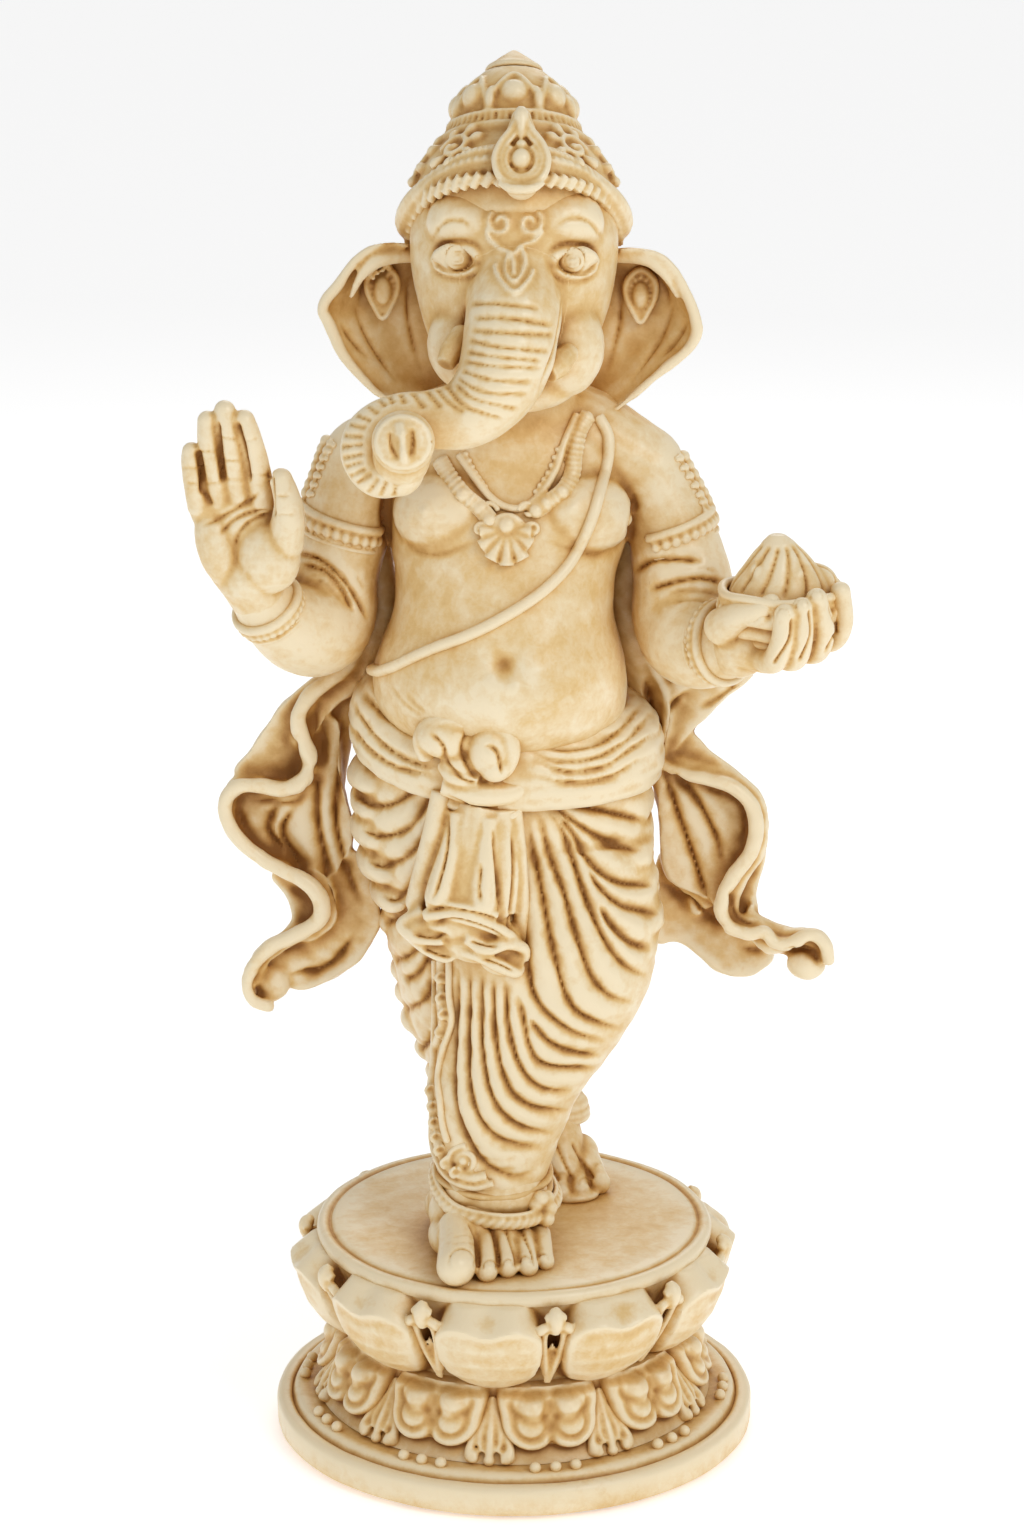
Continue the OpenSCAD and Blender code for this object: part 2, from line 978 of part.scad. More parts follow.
module back_scarf_solid() {
    limb([
        [-62, 20, 334, 9], [-44, 36, 330, 9], [-20, 42, 326, 9], [0, 44, 325, 9],
        [20, 42, 326, 9], [44, 36, 330, 9], [64, 20, 334, 9]
    ]);
}

module scarf_back() {
    color(resin) stand() sculpted() difference() {
        back_scarf_solid();
        hip_solid();
        sash_solid();
        torso_solid();
        right_arm_solid();
        left_arm_solid();
    }
}

felt_pad();
base_plinth();
lower_lotus_drum();
lower_petals();
lower_leaves();
base_beads();
upper_lotus_bowl();
upper_petals();
upper_buds();
top_disc();
tie_rod();
tie_washer();
tie_nut();
top_nut();
leg_pins();
left_foot();
right_foot();
left_anklet();
right_anklet();
left_leg_drape();
right_leg_drape();
hip_wrap();
waist_sash();
sash_knot();
sash_tail();
pleat_border();
waist_dowel();
torso();
sacred_thread();
necklace();
necklace_pendant();
neck_dowel();
head();
trunk();
right_tusk();
left_tusk();
right_ear();
left_ear();
right_earring();
left_earring();
crown_band();
crown_body();
crown_medallion();
crown_finial();
shoulder_dowels();
wrist_dowels();
right_arm();
right_hand();
right_armlet();
right_bracelet();
left_arm();
left_hand();
left_armlet();
left_bracelet();
modak_dish();
modak();
right_scarf();
left_scarf();
scarf_back();
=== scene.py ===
# %% [markdown]
# # Elephant-headed figure on a double lotus
# The CAD model holds the sizes. This notebook makes what shows: carved resin forms that stand in the
# same places, each one riding on the single rigid body. Lengths here are millimetres unless a name
# says otherwise, and Blender's own unit is the metre.

# %% load the frame
import math

import bpy
import numpy as np
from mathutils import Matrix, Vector
from mathutils.bvhtree import BVHTree


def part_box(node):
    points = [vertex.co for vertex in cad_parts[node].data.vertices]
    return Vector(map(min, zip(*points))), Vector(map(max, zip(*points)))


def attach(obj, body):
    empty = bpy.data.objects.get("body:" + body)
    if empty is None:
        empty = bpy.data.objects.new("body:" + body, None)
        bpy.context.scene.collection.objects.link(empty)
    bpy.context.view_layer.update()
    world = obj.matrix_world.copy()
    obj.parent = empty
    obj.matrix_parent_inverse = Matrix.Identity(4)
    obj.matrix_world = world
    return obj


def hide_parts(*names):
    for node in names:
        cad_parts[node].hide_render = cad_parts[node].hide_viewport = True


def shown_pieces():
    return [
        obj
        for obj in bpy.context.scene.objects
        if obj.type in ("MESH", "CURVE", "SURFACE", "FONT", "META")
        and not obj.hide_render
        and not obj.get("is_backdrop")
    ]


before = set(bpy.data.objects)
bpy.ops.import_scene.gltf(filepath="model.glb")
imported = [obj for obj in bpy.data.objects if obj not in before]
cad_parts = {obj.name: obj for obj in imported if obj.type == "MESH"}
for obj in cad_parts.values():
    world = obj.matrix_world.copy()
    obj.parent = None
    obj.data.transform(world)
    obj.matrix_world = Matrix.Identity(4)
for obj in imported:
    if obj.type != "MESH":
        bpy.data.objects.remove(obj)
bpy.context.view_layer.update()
MM = 0.001
BODY = "root"

# %% [markdown]
# ## Camera and light
# A camera 1.7 m in front of the axis looks down a little through a long lens, so that the disc that
# the figure stands on shows. A white floor and large soft lamps give the even studio light.

# %% camera, floor and light
EYE = Vector((0, -1.7, 0.803))
camera_data = bpy.data.cameras.new("camera")
camera_data.sensor_fit = "VERTICAL"
camera_data.sensor_height = 36
camera_data.lens = 97.8
camera = bpy.data.objects.new("camera", camera_data)
bpy.context.collection.objects.link(camera)
camera.location = EYE
camera.rotation_euler = (math.radians(90 - 16.487), 0, 0)
camera_data.shift_x = -0.0013
bpy.context.scene.camera = camera


def lamp(name, place, aim, size, power, tint=(1, 1, 1)):
    data = bpy.data.lights.new(name, "AREA")
    data.size = size
    data.energy = power
    data.color = tint
    obj = bpy.data.objects.new(name, data)
    bpy.context.collection.objects.link(obj)
    obj.location = place
    obj.rotation_euler = (Vector(aim) - Vector(place)).to_track_quat("-Z", "Y").to_euler()


lamp("key", (1.2, -1.4, 1.6), (0, 0, 0.3), 1.0, 13, (1, 0.98, 0.95))
lamp("fill", (-1.6, -1.2, 1.0), (0, 0, 0.3), 1.4, 3)
lamp("back", (0.2, 1.6, 1.5), (0, 0, 0.3), 1.2, 7)
world = bpy.data.worlds.new("world")
bpy.context.scene.world = world
world.use_nodes = True
world.node_tree.nodes["Background"].inputs["Color"].default_value = (1, 1, 1, 1)
world.node_tree.nodes["Background"].inputs["Strength"].default_value = 0.5
# the sky lights the statue at half strength, and is plain white behind it
backdrop = world.node_tree.nodes.new("ShaderNodeBackground")
backdrop.inputs["Color"].default_value = (1, 1, 1, 1)
by_ray = world.node_tree.nodes.new("ShaderNodeLightPath")
either = world.node_tree.nodes.new("ShaderNodeMixShader")
wires = world.node_tree.links
wires.new(by_ray.outputs["Is Camera Ray"], either.inputs["Fac"])
wires.new(world.node_tree.nodes["Background"].outputs["Background"], either.inputs[1])
wires.new(backdrop.outputs["Background"], either.inputs[2])
wires.new(either.outputs["Shader"], world.node_tree.nodes["World Output"].inputs["Surface"])
bpy.context.scene.view_settings.view_transform = "Standard"

bpy.ops.mesh.primitive_plane_add(size=12, location=(0, 0, 0))
floor = bpy.context.active_object
floor.name = "floor"
floor_material = bpy.data.materials.new("floor")
floor_material.use_nodes = True
floor_shader = floor_material.node_tree.nodes["Principled BSDF"]
floor_shader.inputs["Base Color"].default_value = (0.93, 0.93, 0.93, 1)
floor_shader.inputs["Roughness"].default_value = 0.9
floor_shader.inputs["Emission Color"].default_value = (1, 1, 1, 1)
floor_shader.inputs["Emission Strength"].default_value = 0.45
floor.data.materials.append(floor_material)
floor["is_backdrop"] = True


# %% [markdown]
# ## Clay tools
# The real figure was modelled in clay and cast. The same order works here: rough forms are pushed
# together, fused and smoothed, and the folds, wrinkles and creases are then cut in. Lines are drawn
# as the front view shows them, on an upright plane through the axis, and thrown from the camera onto
# the form.

# %% selection and modifiers
def select_only(*objects):
    bpy.ops.object.select_all(action="DESELECT")
    for obj in objects:
        obj.select_set(True)
    bpy.context.view_layer.objects.active = objects[0]


def apply_modifier(obj, kind, **settings):
    select_only(obj)
    modifier = obj.modifiers.new(kind, kind)
    for key, value in settings.items():
        setattr(modifier, key, value)
    bpy.ops.object.modifier_apply(modifier=modifier.name)


def ball(x, y, z, r, stretch=(1, 1, 1), turn=(0, 0, 0), segments=24):
    """A ball or, with stretch and turn (degrees), an egg."""
    bpy.ops.mesh.primitive_uv_sphere_add(
        segments=segments, ring_count=segments // 2, radius=1, location=(x * MM, y * MM, z * MM),
        rotation=[math.radians(a) for a in turn], scale=[r * MM * s for s in stretch])
    return bpy.context.active_object


# %% smooth paths and rods
def smooth_path(stops, per=6, closed=False):
    """Catmull-Rom curve through the stops, whatever their number of values."""
    stops = np.array(stops, float)
    if closed:
        padded = np.vstack([stops[-1], stops, stops[0], stops[1]])
    else:
        padded = np.vstack([2 * stops[0] - stops[1], stops, 2 * stops[-1] - stops[-2]])
    out = []
    for k in range(len(padded) - 3):
        a, b, c, d = padded[k:k + 4]
        for t in np.linspace(0, 1, per, endpoint=False):
            out.append(0.5 * (2 * b + (c - a) * t + (2 * a - 5 * b + 4 * c - d) * t * t
                              + (3 * b - a - 3 * c + d) * t ** 3))
    if not closed:
        out.append(stops[-1])
    return np.array(out)


def rod(stops, r=None, per=6, sides=4, closed=False):
    """Round rod along a smooth path; each stop is (x, y, z, radius), or (x, y, z) with one radius."""
    path = smooth_path(stops, per, closed)
    curve = bpy.data.curves.new("rod", "CURVE")
    curve.dimensions = "3D"
    curve.bevel_depth = MM
    curve.bevel_resolution = sides
    curve.use_fill_caps = True
    spline = curve.splines.new("POLY")
    spline.points.add(len(path) - 1)
    spline.use_cyclic_u = closed
    for point, stop in zip(spline.points, path):
        point.co = (stop[0] * MM, stop[1] * MM, stop[2] * MM, 1)
        point.radius = max(stop[3] if r is None else r, 0.05)
    obj = bpy.data.objects.new("rod", curve)
    bpy.context.collection.objects.link(obj)
    select_only(obj)
    bpy.ops.object.convert(target="MESH")
    return obj


def limb(stops, per=6, sides=6):
    """Rod with ball ends."""
    first, last = stops[0], stops[-1]
    return [rod(stops, None, per, sides), ball(*first), ball(*last)]


def mesh_object(name, points, faces):
    mesh = bpy.data.meshes.new(name)
    mesh.from_pydata([tuple(p * MM) for p in np.array(points, float)], [], faces)
    mesh.validate()
    obj = bpy.data.objects.new(name, mesh)
    bpy.context.collection.objects.link(obj)
    return obj


def grid_faces(rows, columns, wrap=True):
    faces = []
    for i in range(rows - 1):
        for j in range(columns if wrap else columns - 1):
            k = (j + 1) % columns
            faces.append((i * columns + j, i * columns + k, (i + 1) * columns + k, (i + 1) * columns + j))
    return faces


def body_form(rings, sides=64, per=5):
    """Closed form through level rings, each (z, centre x, centre y, half width, half depth)."""
    rings = smooth_path(rings, per)
    t = np.linspace(0, 2 * math.pi, sides, endpoint=False)
    points = [np.stack([r[1] + r[3] * np.cos(t), r[2] + r[4] * np.sin(t), np.full(sides, r[0])], 1)
              for r in rings]
    faces = grid_faces(len(rings), sides)
    faces.append(tuple(range(sides - 1, -1, -1)))
    faces.append(tuple((len(rings) - 1) * sides + j for j in range(sides)))
    return mesh_object("form", np.vstack(points), faces)


def flat_list(parts):
    out = []
    for part in parts:
        out += flat_list(part) if isinstance(part, (list, tuple)) else [part]
    return out


def join(name, *parts):
    parts = flat_list(parts)
    select_only(*parts)
    if len(parts) > 1:
        bpy.ops.object.join()
    obj = bpy.context.active_object
    bpy.ops.object.transform_apply(location=True, rotation=True, scale=True)
    obj.name = name
    obj.data.name = name
    return obj


def clay(name, voxel, smooth, *parts):
    """Fuse overlapping forms into one skin and smooth it."""
    obj = join(name, *parts)
    apply_modifier(obj, "REMESH", mode="VOXEL", voxel_size=voxel * MM, use_smooth_shade=True)
    if smooth:
        apply_modifier(obj, "SMOOTH", factor=0.5, iterations=smooth)
    return obj


# %% vertex arrays
def coords(obj):
    out = np.empty(len(obj.data.vertices) * 3, np.float32)
    obj.data.vertices.foreach_get("co", out)
    return out.reshape(-1, 3).astype(float) / MM


def normals(obj):
    out = np.empty(len(obj.data.vertices) * 3, np.float32)
    obj.data.vertices.foreach_get("normal", out)
    return out.reshape(-1, 3).astype(float)


def put(obj, points):
    obj.data.vertices.foreach_set("co", (points * MM).astype(np.float32).ravel())
    obj.data.update()


def tree_of(obj):
    mesh = obj.data
    return BVHTree.FromPolygons([v.co for v in mesh.vertices], [p.vertices for p in mesh.polygons])


def front(tree, line, per=4):
    """Throw front-view points (x, z) from the camera onto a form; returns 3-D points."""
    out = []
    for x, z in smooth_path(line, per) if per else np.array(line, float):
        way = Vector((x * MM, 0, z * MM)) - EYE
        hit = tree.ray_cast(EYE, way.normalized())[0]
        if hit is not None:
            out.append(np.array(hit) / MM)
    return np.array(out)


def behind(tree, line, per=4, way=(0, -1, 0)):
    """The same from another side: points (x, y, z) move along a direction onto the form."""
    out = []
    for p in smooth_path(line, per):
        start = Vector(p) * MM
        hit = tree.ray_cast(start, Vector(way).normalized())[0]
        if hit is not None:
            out.append(np.array(hit) / MM)
    return np.array(out)


def nearest(points, line):
    """Distance from each point to a line, and the share of the way along it."""
    best = np.full(len(points), 1e9)
    share = np.zeros(len(points))
    lengths = np.r_[0, np.cumsum(np.linalg.norm(np.diff(line, axis=0), axis=1))]
    lengths /= max(lengths[-1], 1e-6)
    for k in range(len(line) - 1):
        a, b = line[k], line[k + 1]
        ab = b - a
        t = np.clip((points - a) @ ab / max(ab @ ab, 1e-9), 0, 1)
        q = a + t[:, None] * ab
        d = np.linalg.norm(points - q, axis=1)
        near = d < best
        best[near] = d[near]
        share[near] = (lengths[k] + t * (lengths[k + 1] - lengths[k]))[near]
    return best, share


def near_box(points, line, margin):
    low, high = line.min(0) - margin, line.max(0) + margin
    return np.all((points > low) & (points < high), axis=1)


def ends(share, fade=0.15):
    """1 along a line, falling to 0 at both ends."""
    return np.clip(np.minimum(share, 1 - share) / fade, 0, 1)


def crease(obj, lines, width, depth, fade=0.15):
    """Cut sharp valleys with rounded shoulders along lines; the deepest cut wins."""
    points, way = coords(obj), normals(obj)
    cut = np.zeros(len(points))
    for line in lines:
        if len(line) > 1:
            mask = near_box(points, line, width)
            d, share = nearest(points[mask], line)
            x = np.clip(1 - d / width, 0, 1)
            value = depth * ends(share, fade) * (1 - np.sqrt(1 - x * x))
            cut[mask] = np.maximum(cut[mask], value)
    put(obj, points - way * cut[:, None])


def ridge(obj, line, width, height, fade=0.15):
    """Raise a rounded cord along a line, or sink one with a negative height."""
    if len(line) < 2:
        return
    points, way = coords(obj), normals(obj)
    mask = near_box(points, line, 3 * width)
    d, share = nearest(points[mask], line)
    lift = height * ends(share, fade) * np.exp(-(d / width) ** 2)
    points[mask] += way[mask] * lift[:, None]
    put(obj, points)


def bump(obj, x, y, z, r, height, stretch=(1, 1, 1)):
    """Raise or sink a soft dome round a point."""
    points, way = coords(obj), normals(obj)
    d = np.linalg.norm((points - (x, y, z)) / np.array(stretch), axis=1)
    points += way * (height * np.exp(-(d / r) ** 2))[:, None]
    put(obj, points)


def roughen(obj, size, height, seed=0.0):
    """Hand-made unevenness: a few slow waves of different lengths, the same each run."""
    points, way = coords(obj), normals(obj)
    total = np.zeros(len(points))
    for k in range(5):
        turn = np.array([math.sin(1.7 * k + seed), math.cos(2.3 * k + seed), math.sin(0.9 * k + 1 + seed)])
        total += np.sin(points @ turn / size * (1 + 0.37 * k) * 2 * math.pi + k * 1.3) / (k + 1.5)
    put(obj, points + way * (height * total)[:, None])


# %% [markdown]
# ## Resin
# The casting is cream resin. A brown wash was brushed on and wiped off, so it stays in the recesses.
# Each vertex therefore stores how deep it lies below a smoothed copy of its own form, at three
# sizes of detail, and the material mixes the wash in from that and from noise. Ambient occlusion adds
# painted shade in the corners between pieces, on top of the wash.

# %% recess attribute
def recess(obj, reach=(3, 16, 80), scale=(0.4, 0.9, 2.0)):
    mesh = obj.data
    count = len(mesh.vertices)
    edges = np.empty(len(mesh.edges) * 2, np.int32)
    mesh.edges.foreach_get("vertices", edges)
    a, b = edges[0::2], edges[1::2]
    degree = np.maximum(np.bincount(a, minlength=count) + np.bincount(b, minlength=count), 1)
    points, way = coords(obj), normals(obj)
    soft = points.copy()
    depth = np.zeros(count)
    step = 0
    for passes, size in zip(reach, scale):
        while step < passes:
            for axis in range(3):
                total = (np.bincount(a, soft[b, axis], count) + np.bincount(b, soft[a, axis], count))
                soft[:, axis] = 0.4 * soft[:, axis] + 0.6 * total / degree
            step += 1
        depth += np.clip(((soft - points) * way).sum(1) / size, -0.4, 1.0)
    for _ in range(2):
        depth = 0.4 * depth + 0.6 * (np.bincount(a, depth[b], count) + np.bincount(b, depth[a],
                                                                                   count)) / degree
    layer = mesh.attributes.new("recess", "FLOAT", "POINT")
    layer.data.foreach_set("value", np.clip(depth / 2, -1, 1).astype(np.float32))


# %% resin material
def nodes_of(name):
    material = bpy.data.materials.new(name)
    material.use_nodes = True
    return material, material.node_tree.nodes, material.node_tree.links


def ramp(nodes, stops):
    node = nodes.new("ShaderNodeValToRGB")
    while len(node.color_ramp.elements) < len(stops):
        node.color_ramp.elements.new(0.5)
    for element, (place, colour) in zip(node.color_ramp.elements, stops):
        element.position = place
        element.color = (*colour, 1)
    return node


def math_node(nodes, links, kind, first, second):
    node = nodes.new("ShaderNodeMath")
    node.operation = kind
    for socket, value in zip(node.inputs, (first, second)):
        if isinstance(value, (int, float)):
            socket.default_value = value
        else:
            links.new(value, socket)
    return node.outputs[0]


def noise(nodes, links, scale, detail=3, rough=0.55, spread=0.0):
    node = nodes.new("ShaderNodeTexNoise")
    node.inputs["Scale"].default_value = scale
    node.inputs["Detail"].default_value = detail
    node.inputs["Roughness"].default_value = rough
    node.inputs["Distortion"].default_value = spread
    links.new(nodes.new("ShaderNodeTexCoord").outputs["Object"], node.inputs["Vector"])
    return node.outputs["Fac"]


def resin_material(name, wash=0.0, cream=(0.79, 0.565, 0.26), pale=(0.90, 0.77, 0.53)):
    """Cream resin with a brown wash, darkened further in corners by painted shade from ambient occlusion;
    wash shifts how much of the brown stays on the open faces.
    """
    material, nodes, links = nodes_of(name)
    shader = nodes["Principled BSDF"]
    attribute = nodes.new("ShaderNodeAttribute")
    attribute.attribute_name = "recess"
    # painted shade: ambient occlusion darkens the colour where corners between pieces block light, and this
    # is added to the wash amount
    corner = nodes.new("ShaderNodeAmbientOcclusion")
    corner.inputs["Distance"].default_value = 0.015
    corner.samples = 4
    painted_corner_shade = math_node(nodes, links, "SUBTRACT", 1.0, corner.outputs["AO"])
    broad = noise(nodes, links, 28, 4, 0.6)
    fine = noise(nodes, links, 170, 3, 0.6, spread=0.4)
    speck = noise(nodes, links, 700, 2, 0.5)
    amount = math_node(nodes, links, "MULTIPLY", attribute.outputs["Fac"], 0.62)
    shade = math_node(nodes, links, "MULTIPLY", painted_corner_shade, 0.6)
    amount = math_node(nodes, links, "ADD", amount, shade)
    patch = math_node(nodes, links, "MULTIPLY", math_node(nodes, links, "SUBTRACT", broad, 0.5), 0.55)
    grain = math_node(nodes, links, "MULTIPLY", math_node(nodes, links, "SUBTRACT", fine, 0.5), 0.42)
    dots = math_node(nodes, links, "MULTIPLY", math_node(nodes, links, "SUBTRACT", speck, 0.5), 0.12)
    amount = math_node(nodes, links, "ADD", amount, math_node(nodes, links, "ADD", patch, grain))
    amount = math_node(nodes, links, "ADD", amount, dots)
    amount = math_node(nodes, links, "ADD", amount, 0.22 + wash)
    tone = ramp(nodes, [(0.0, pale), (0.24, cream), (0.44, (0.70, 0.435, 0.15)),
                        (0.66, (0.53, 0.27, 0.065)), (1.0, (0.28, 0.11, 0.015))])
    links.new(amount, tone.inputs["Fac"])
    links.new(tone.outputs["Color"], shader.inputs["Base Color"])
    gloss = ramp(nodes, [(0.0, (0.32,) * 3), (0.6, (0.5,) * 3), (1.0, (0.75,) * 3)])
    links.new(amount, gloss.inputs["Fac"])
    links.new(gloss.outputs["Color"], shader.inputs["Roughness"])
    shader.inputs["Specular IOR Level"].default_value = 0.5
    bump_node = nodes.new("ShaderNodeBump")
    bump_node.inputs["Strength"].default_value = 0.25
    bump_node.inputs["Distance"].default_value = 0.0006
    links.new(math_node(nodes, links, "ADD", noise(nodes, links, 240, 4, 0.6),
                        math_node(nodes, links, "MULTIPLY", speck, 0.35)), bump_node.inputs["Height"])
    links.new(bump_node.outputs["Normal"], shader.inputs["Normal"])
    return material


FIGURE_RESIN = resin_material("figure_resin")
BASE_RESIN = resin_material("base_resin", 0.05)
DEEP_RESIN = resin_material("deep_resin", 0.14)


def finish_piece(obj, material, *replaced, slot="antiqued_resin"):
    """Give a piece its wash, its material and its place in the frame."""
    select_only(obj)
    bpy.ops.object.shade_smooth_by_angle(angle=math.radians(40))
    if "recess" not in obj.data.attributes:
        recess(obj)
    obj.data.materials.clear()
    obj.data.materials.append(material)
    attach(obj, BODY)
    if replaced:
        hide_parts(*replaced)
    print(obj.name, len(obj.data.polygons), "faces", [round(v * 1000) for v in obj.dimensions])
    return obj


# %% [markdown]
# ## Plinth and lotus pedestal
# On the real statue the pedestal is turned and carved in clay before moulding. A height field on a
# turned profile does the same: one function gives the radius at each angle and height, and the
# petals, lips and rims are written into it.

# %% turned forms
def turned(name, profile, columns):
    """Closed turned form through (radius, z) points, from the axis out and back to it."""
    angle = np.linspace(0, 2 * math.pi, columns, endpoint=False)
    points = [np.stack([r * np.cos(angle), r * np.sin(angle), np.full(columns, z)], 1) for r, z in profile]
    faces = grid_faces(len(profile), columns)
    faces.append(tuple(range(columns - 1, -1, -1)))
    faces.append(tuple((len(profile) - 1) * columns + j for j in range(columns)))
    return mesh_object(name, np.vstack(points), faces)


def rows_between(profile, step):
    """Add rows so that no face of a profile is longer than a step."""
    out = [profile[0]]
    for a, b in zip(profile[:-1], profile[1:]):
        count = max(1, int(math.dist(a, b) / step))
        out += [tuple(np.array(a) + (np.array(b) - np.array(a)) * k / count) for k in range(1, count + 1)]
    return out


def field(name, heights, radius, columns):
    """Ring whose radius is a function of angle (degrees) and height."""
    angle = np.linspace(0, 360, columns, endpoint=False)
    a, z = np.meshgrid(angle, heights)
    r = radius(a, z)
    t = np.radians(a)
    points = np.stack([r * np.cos(t), r * np.sin(t), z], -1).reshape(-1, 3)
    inner = 40
    low = np.stack([inner * np.cos(t[0]), inner * np.sin(t[0]), z[0]], -1)
    high = np.stack([inner * np.cos(t[-1]), inner * np.sin(t[-1]), z[-1]], -1)
    points = np.vstack([low, points, high])
    faces = grid_faces(len(heights) + 2, columns)
    faces.append(tuple(range(columns - 1, -1, -1)))
    faces.append(tuple((len(heights) + 1) * columns + j for j in range(columns)))
    return mesh_object(name, points, faces)


def petal_angle(angle, turn, count=10):
    """Degrees from the middle of the nearest petal."""
    step = 360 / count
    return (angle - turn + step / 2) % step - step / 2


# %% plinth
PLINTH_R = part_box("base_plinth")[1][0] * 1000
PLINTH_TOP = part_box("base_plinth")[1][2] * 1000
plinth = turned("plinth", rows_between([
    (4, 1.5), (PLINTH_R - 2, 1.5), (PLINTH_R - 0.4, 2.4), (PLINTH_R, 4), (PLINTH_R, 12),
    (PLINTH_R - 0.6, 13.6), (PLINTH_R - 2.2, 14.6), (PLINTH_R - 5, 14.8), (PLINTH_R - 6.2, 14.2),
    (PLINTH_R - 6.8, 13.4), (PLINTH_R - 7.4, 14), (PLINTH_R - 7.9, 15.6), (PLINTH_R - 9, 16.8),
    (PLINTH_R - 11, 17.2), (PLINTH_R - 14, 16.8), (60, 16.8), (4, 16.8)], 5), 300)
roughen(plinth, 38, 0.12)
finish_piece(plinth, BASE_RESIN, "base_plinth")

# %% lower lotus
LOWER_LOW, LOWER_HIGH = PLINTH_TOP - 0.5, 48
PETAL_TURN = -90 + 11
LEAF_TURN = -90 - 7


def blend(values, soft=1.2):
    """Smooth maximum of several arrays."""
    return soft * np.log(sum(np.exp(v / soft) for v in values))


def lower_radius(angle, z):
    t = np.clip((z - LOWER_LOW) / (LOWER_HIGH - LOWER_LOW), 0, 1)
    base = 87 - 15.5 * t - 2 * np.sin(np.pi * t)
    side = np.radians(petal_angle(angle, PETAL_TURN)) * base
    down = (LOWER_HIGH - z) * 1.13
    lobes = [(-8.6, 7, 12), (8.6, 7, 12), (-8.2, 16.5, 11.4), (8.2, 16.5, 11.4)]
    inside = blend([r - np.hypot(side - x, down - s) for x, s, r in lobes])
    lift = np.interp(inside, [-1, 0, 1, 2.8, 4.4, 5.4, 7, 9, 12],
                     [0, 3.4, 5.6, 6.6, 5.9, 5.7, 7.4, 8.2, 8.6])
    boss = np.minimum(np.hypot(side - 6.4, down - 8.5), np.hypot(side + 6.4, down - 8.5))
    dome = np.interp(boss, [0, 2, 4, 5.6, 6.6, 8, 10], [2.2, 2.0, 1.2, 0, -0.6, -0.3, 0])
    lift = lift + np.where(inside > 3, dome, 0)
    lift = lift - np.where(inside > 0, 1.6, 0) * np.exp(-(side / 1.8) ** 2) * np.clip((down - 12) / 6, 0, 1)
    return base + lift * np.clip(down / 5, 0.5, 1)


lower = field("lower_lotus", np.linspace(LOWER_LOW, LOWER_HIGH, 56), lower_radius, 900)
apply_modifier(lower, "SMOOTH", factor=0.5, iterations=2)
finish_piece(lower, BASE_RESIN, "lower_lotus_drum", "lower_petals")


# %% leaves and beads of the lower lotus
def on_slope(angle, side, down, lift):
    """Point on the lower lotus's slope: side and down in mm from the top of a leaf's middle line."""
    z = LOWER_HIGH - down / 1.13
    r = float(lower_radius(np.array([[LEAF_TURN]]), np.array([[z]]))[0, 0]) + lift
    t = math.radians(angle) + side / r
    return (r * math.cos(t), r * math.sin(t), z)


def leaf(angle):
    at = lambda side, down, lift: on_slope(angle, side, down, lift)
    parts = [rod([(*at(0, 6, 0.5), 1.0), (*at(0, 16, 1.6), 1.7), (*at(0, 25, 2.2), 2.3),
                  (*at(0, 31, 2.2), 1.8)])]
    parts.append(ball(*at(0, 33, 1.2), 2.6, segments=16))
    for s in (-1, 1):
        parts.append(rod([(*at(s * 0.8, 8, 0.6), 0.8), (*at(s * 2.6, 16, 1.4), 1.3),
                          (*at(s * 4.4, 24, 2.2), 1.6), (*at(s * 3.2, 29, 2.6), 1.0)]))
        parts.append(rod([(*at(s * 1.4, 12, 0.4), 0.8), (*at(s * 5.2, 20, 1.2), 1.4),
                          (*at(s * 8.4, 27, 2.0), 1.9), (*at(s * 8.8, 31.5, 2.0), 2.0),
                          (*at(s * 6.2, 32.5, 2.6), 1.4), (*at(s * 5.8, 29.5, 3.0), 0.9)]))
        parts.append(ball(*at(s * 7.8, 31.5, 0.8), 3.4, segments=16))
        parts.append(rod([(*at(s * 1.6, 7, 0.2), 0.6), (*at(s * 6.4, 15, 0.8), 1.0),
                          (*at(s * 10.6, 22, 1.2), 1.2), (*at(s * 10.8, 25, 1.6), 0.8)]))
    return parts


leaves = clay("lower_leaves_carved", 0.85, 1, [leaf(LEAF_TURN + 36 * k) for k in range(10)])
finish_piece(leaves, BASE_RESIN, "lower_leaves")

beads = []
for k in range(10):
    for j in (-1, 0, 1):
        t = math.radians(PETAL_TURN + 36 * k + 5.4 * j)
        beads.append(ball(92.6 * math.cos(t), 92.6 * math.sin(t), 18.6, 2.5, segments=16))
beads = join("base_beads_round", beads)
finish_piece(beads, BASE_RESIN, "base_beads")

# %% [markdown]
# ## Upper lotus
# Ten broad petals fold over the bowl, each with a rolled lip, and a small bud stands in each gap. The
# petals are one height field again, because they belong to one casting. The buds stand free of it, so
# one bud is built from rods and repeated round the bowl.

# %% upper lotus
UPPER_LOW, UPPER_HIGH = 46.5, 90.5
UPPER_TURN = LEAF_TURN
BUD_TURN = PETAL_TURN


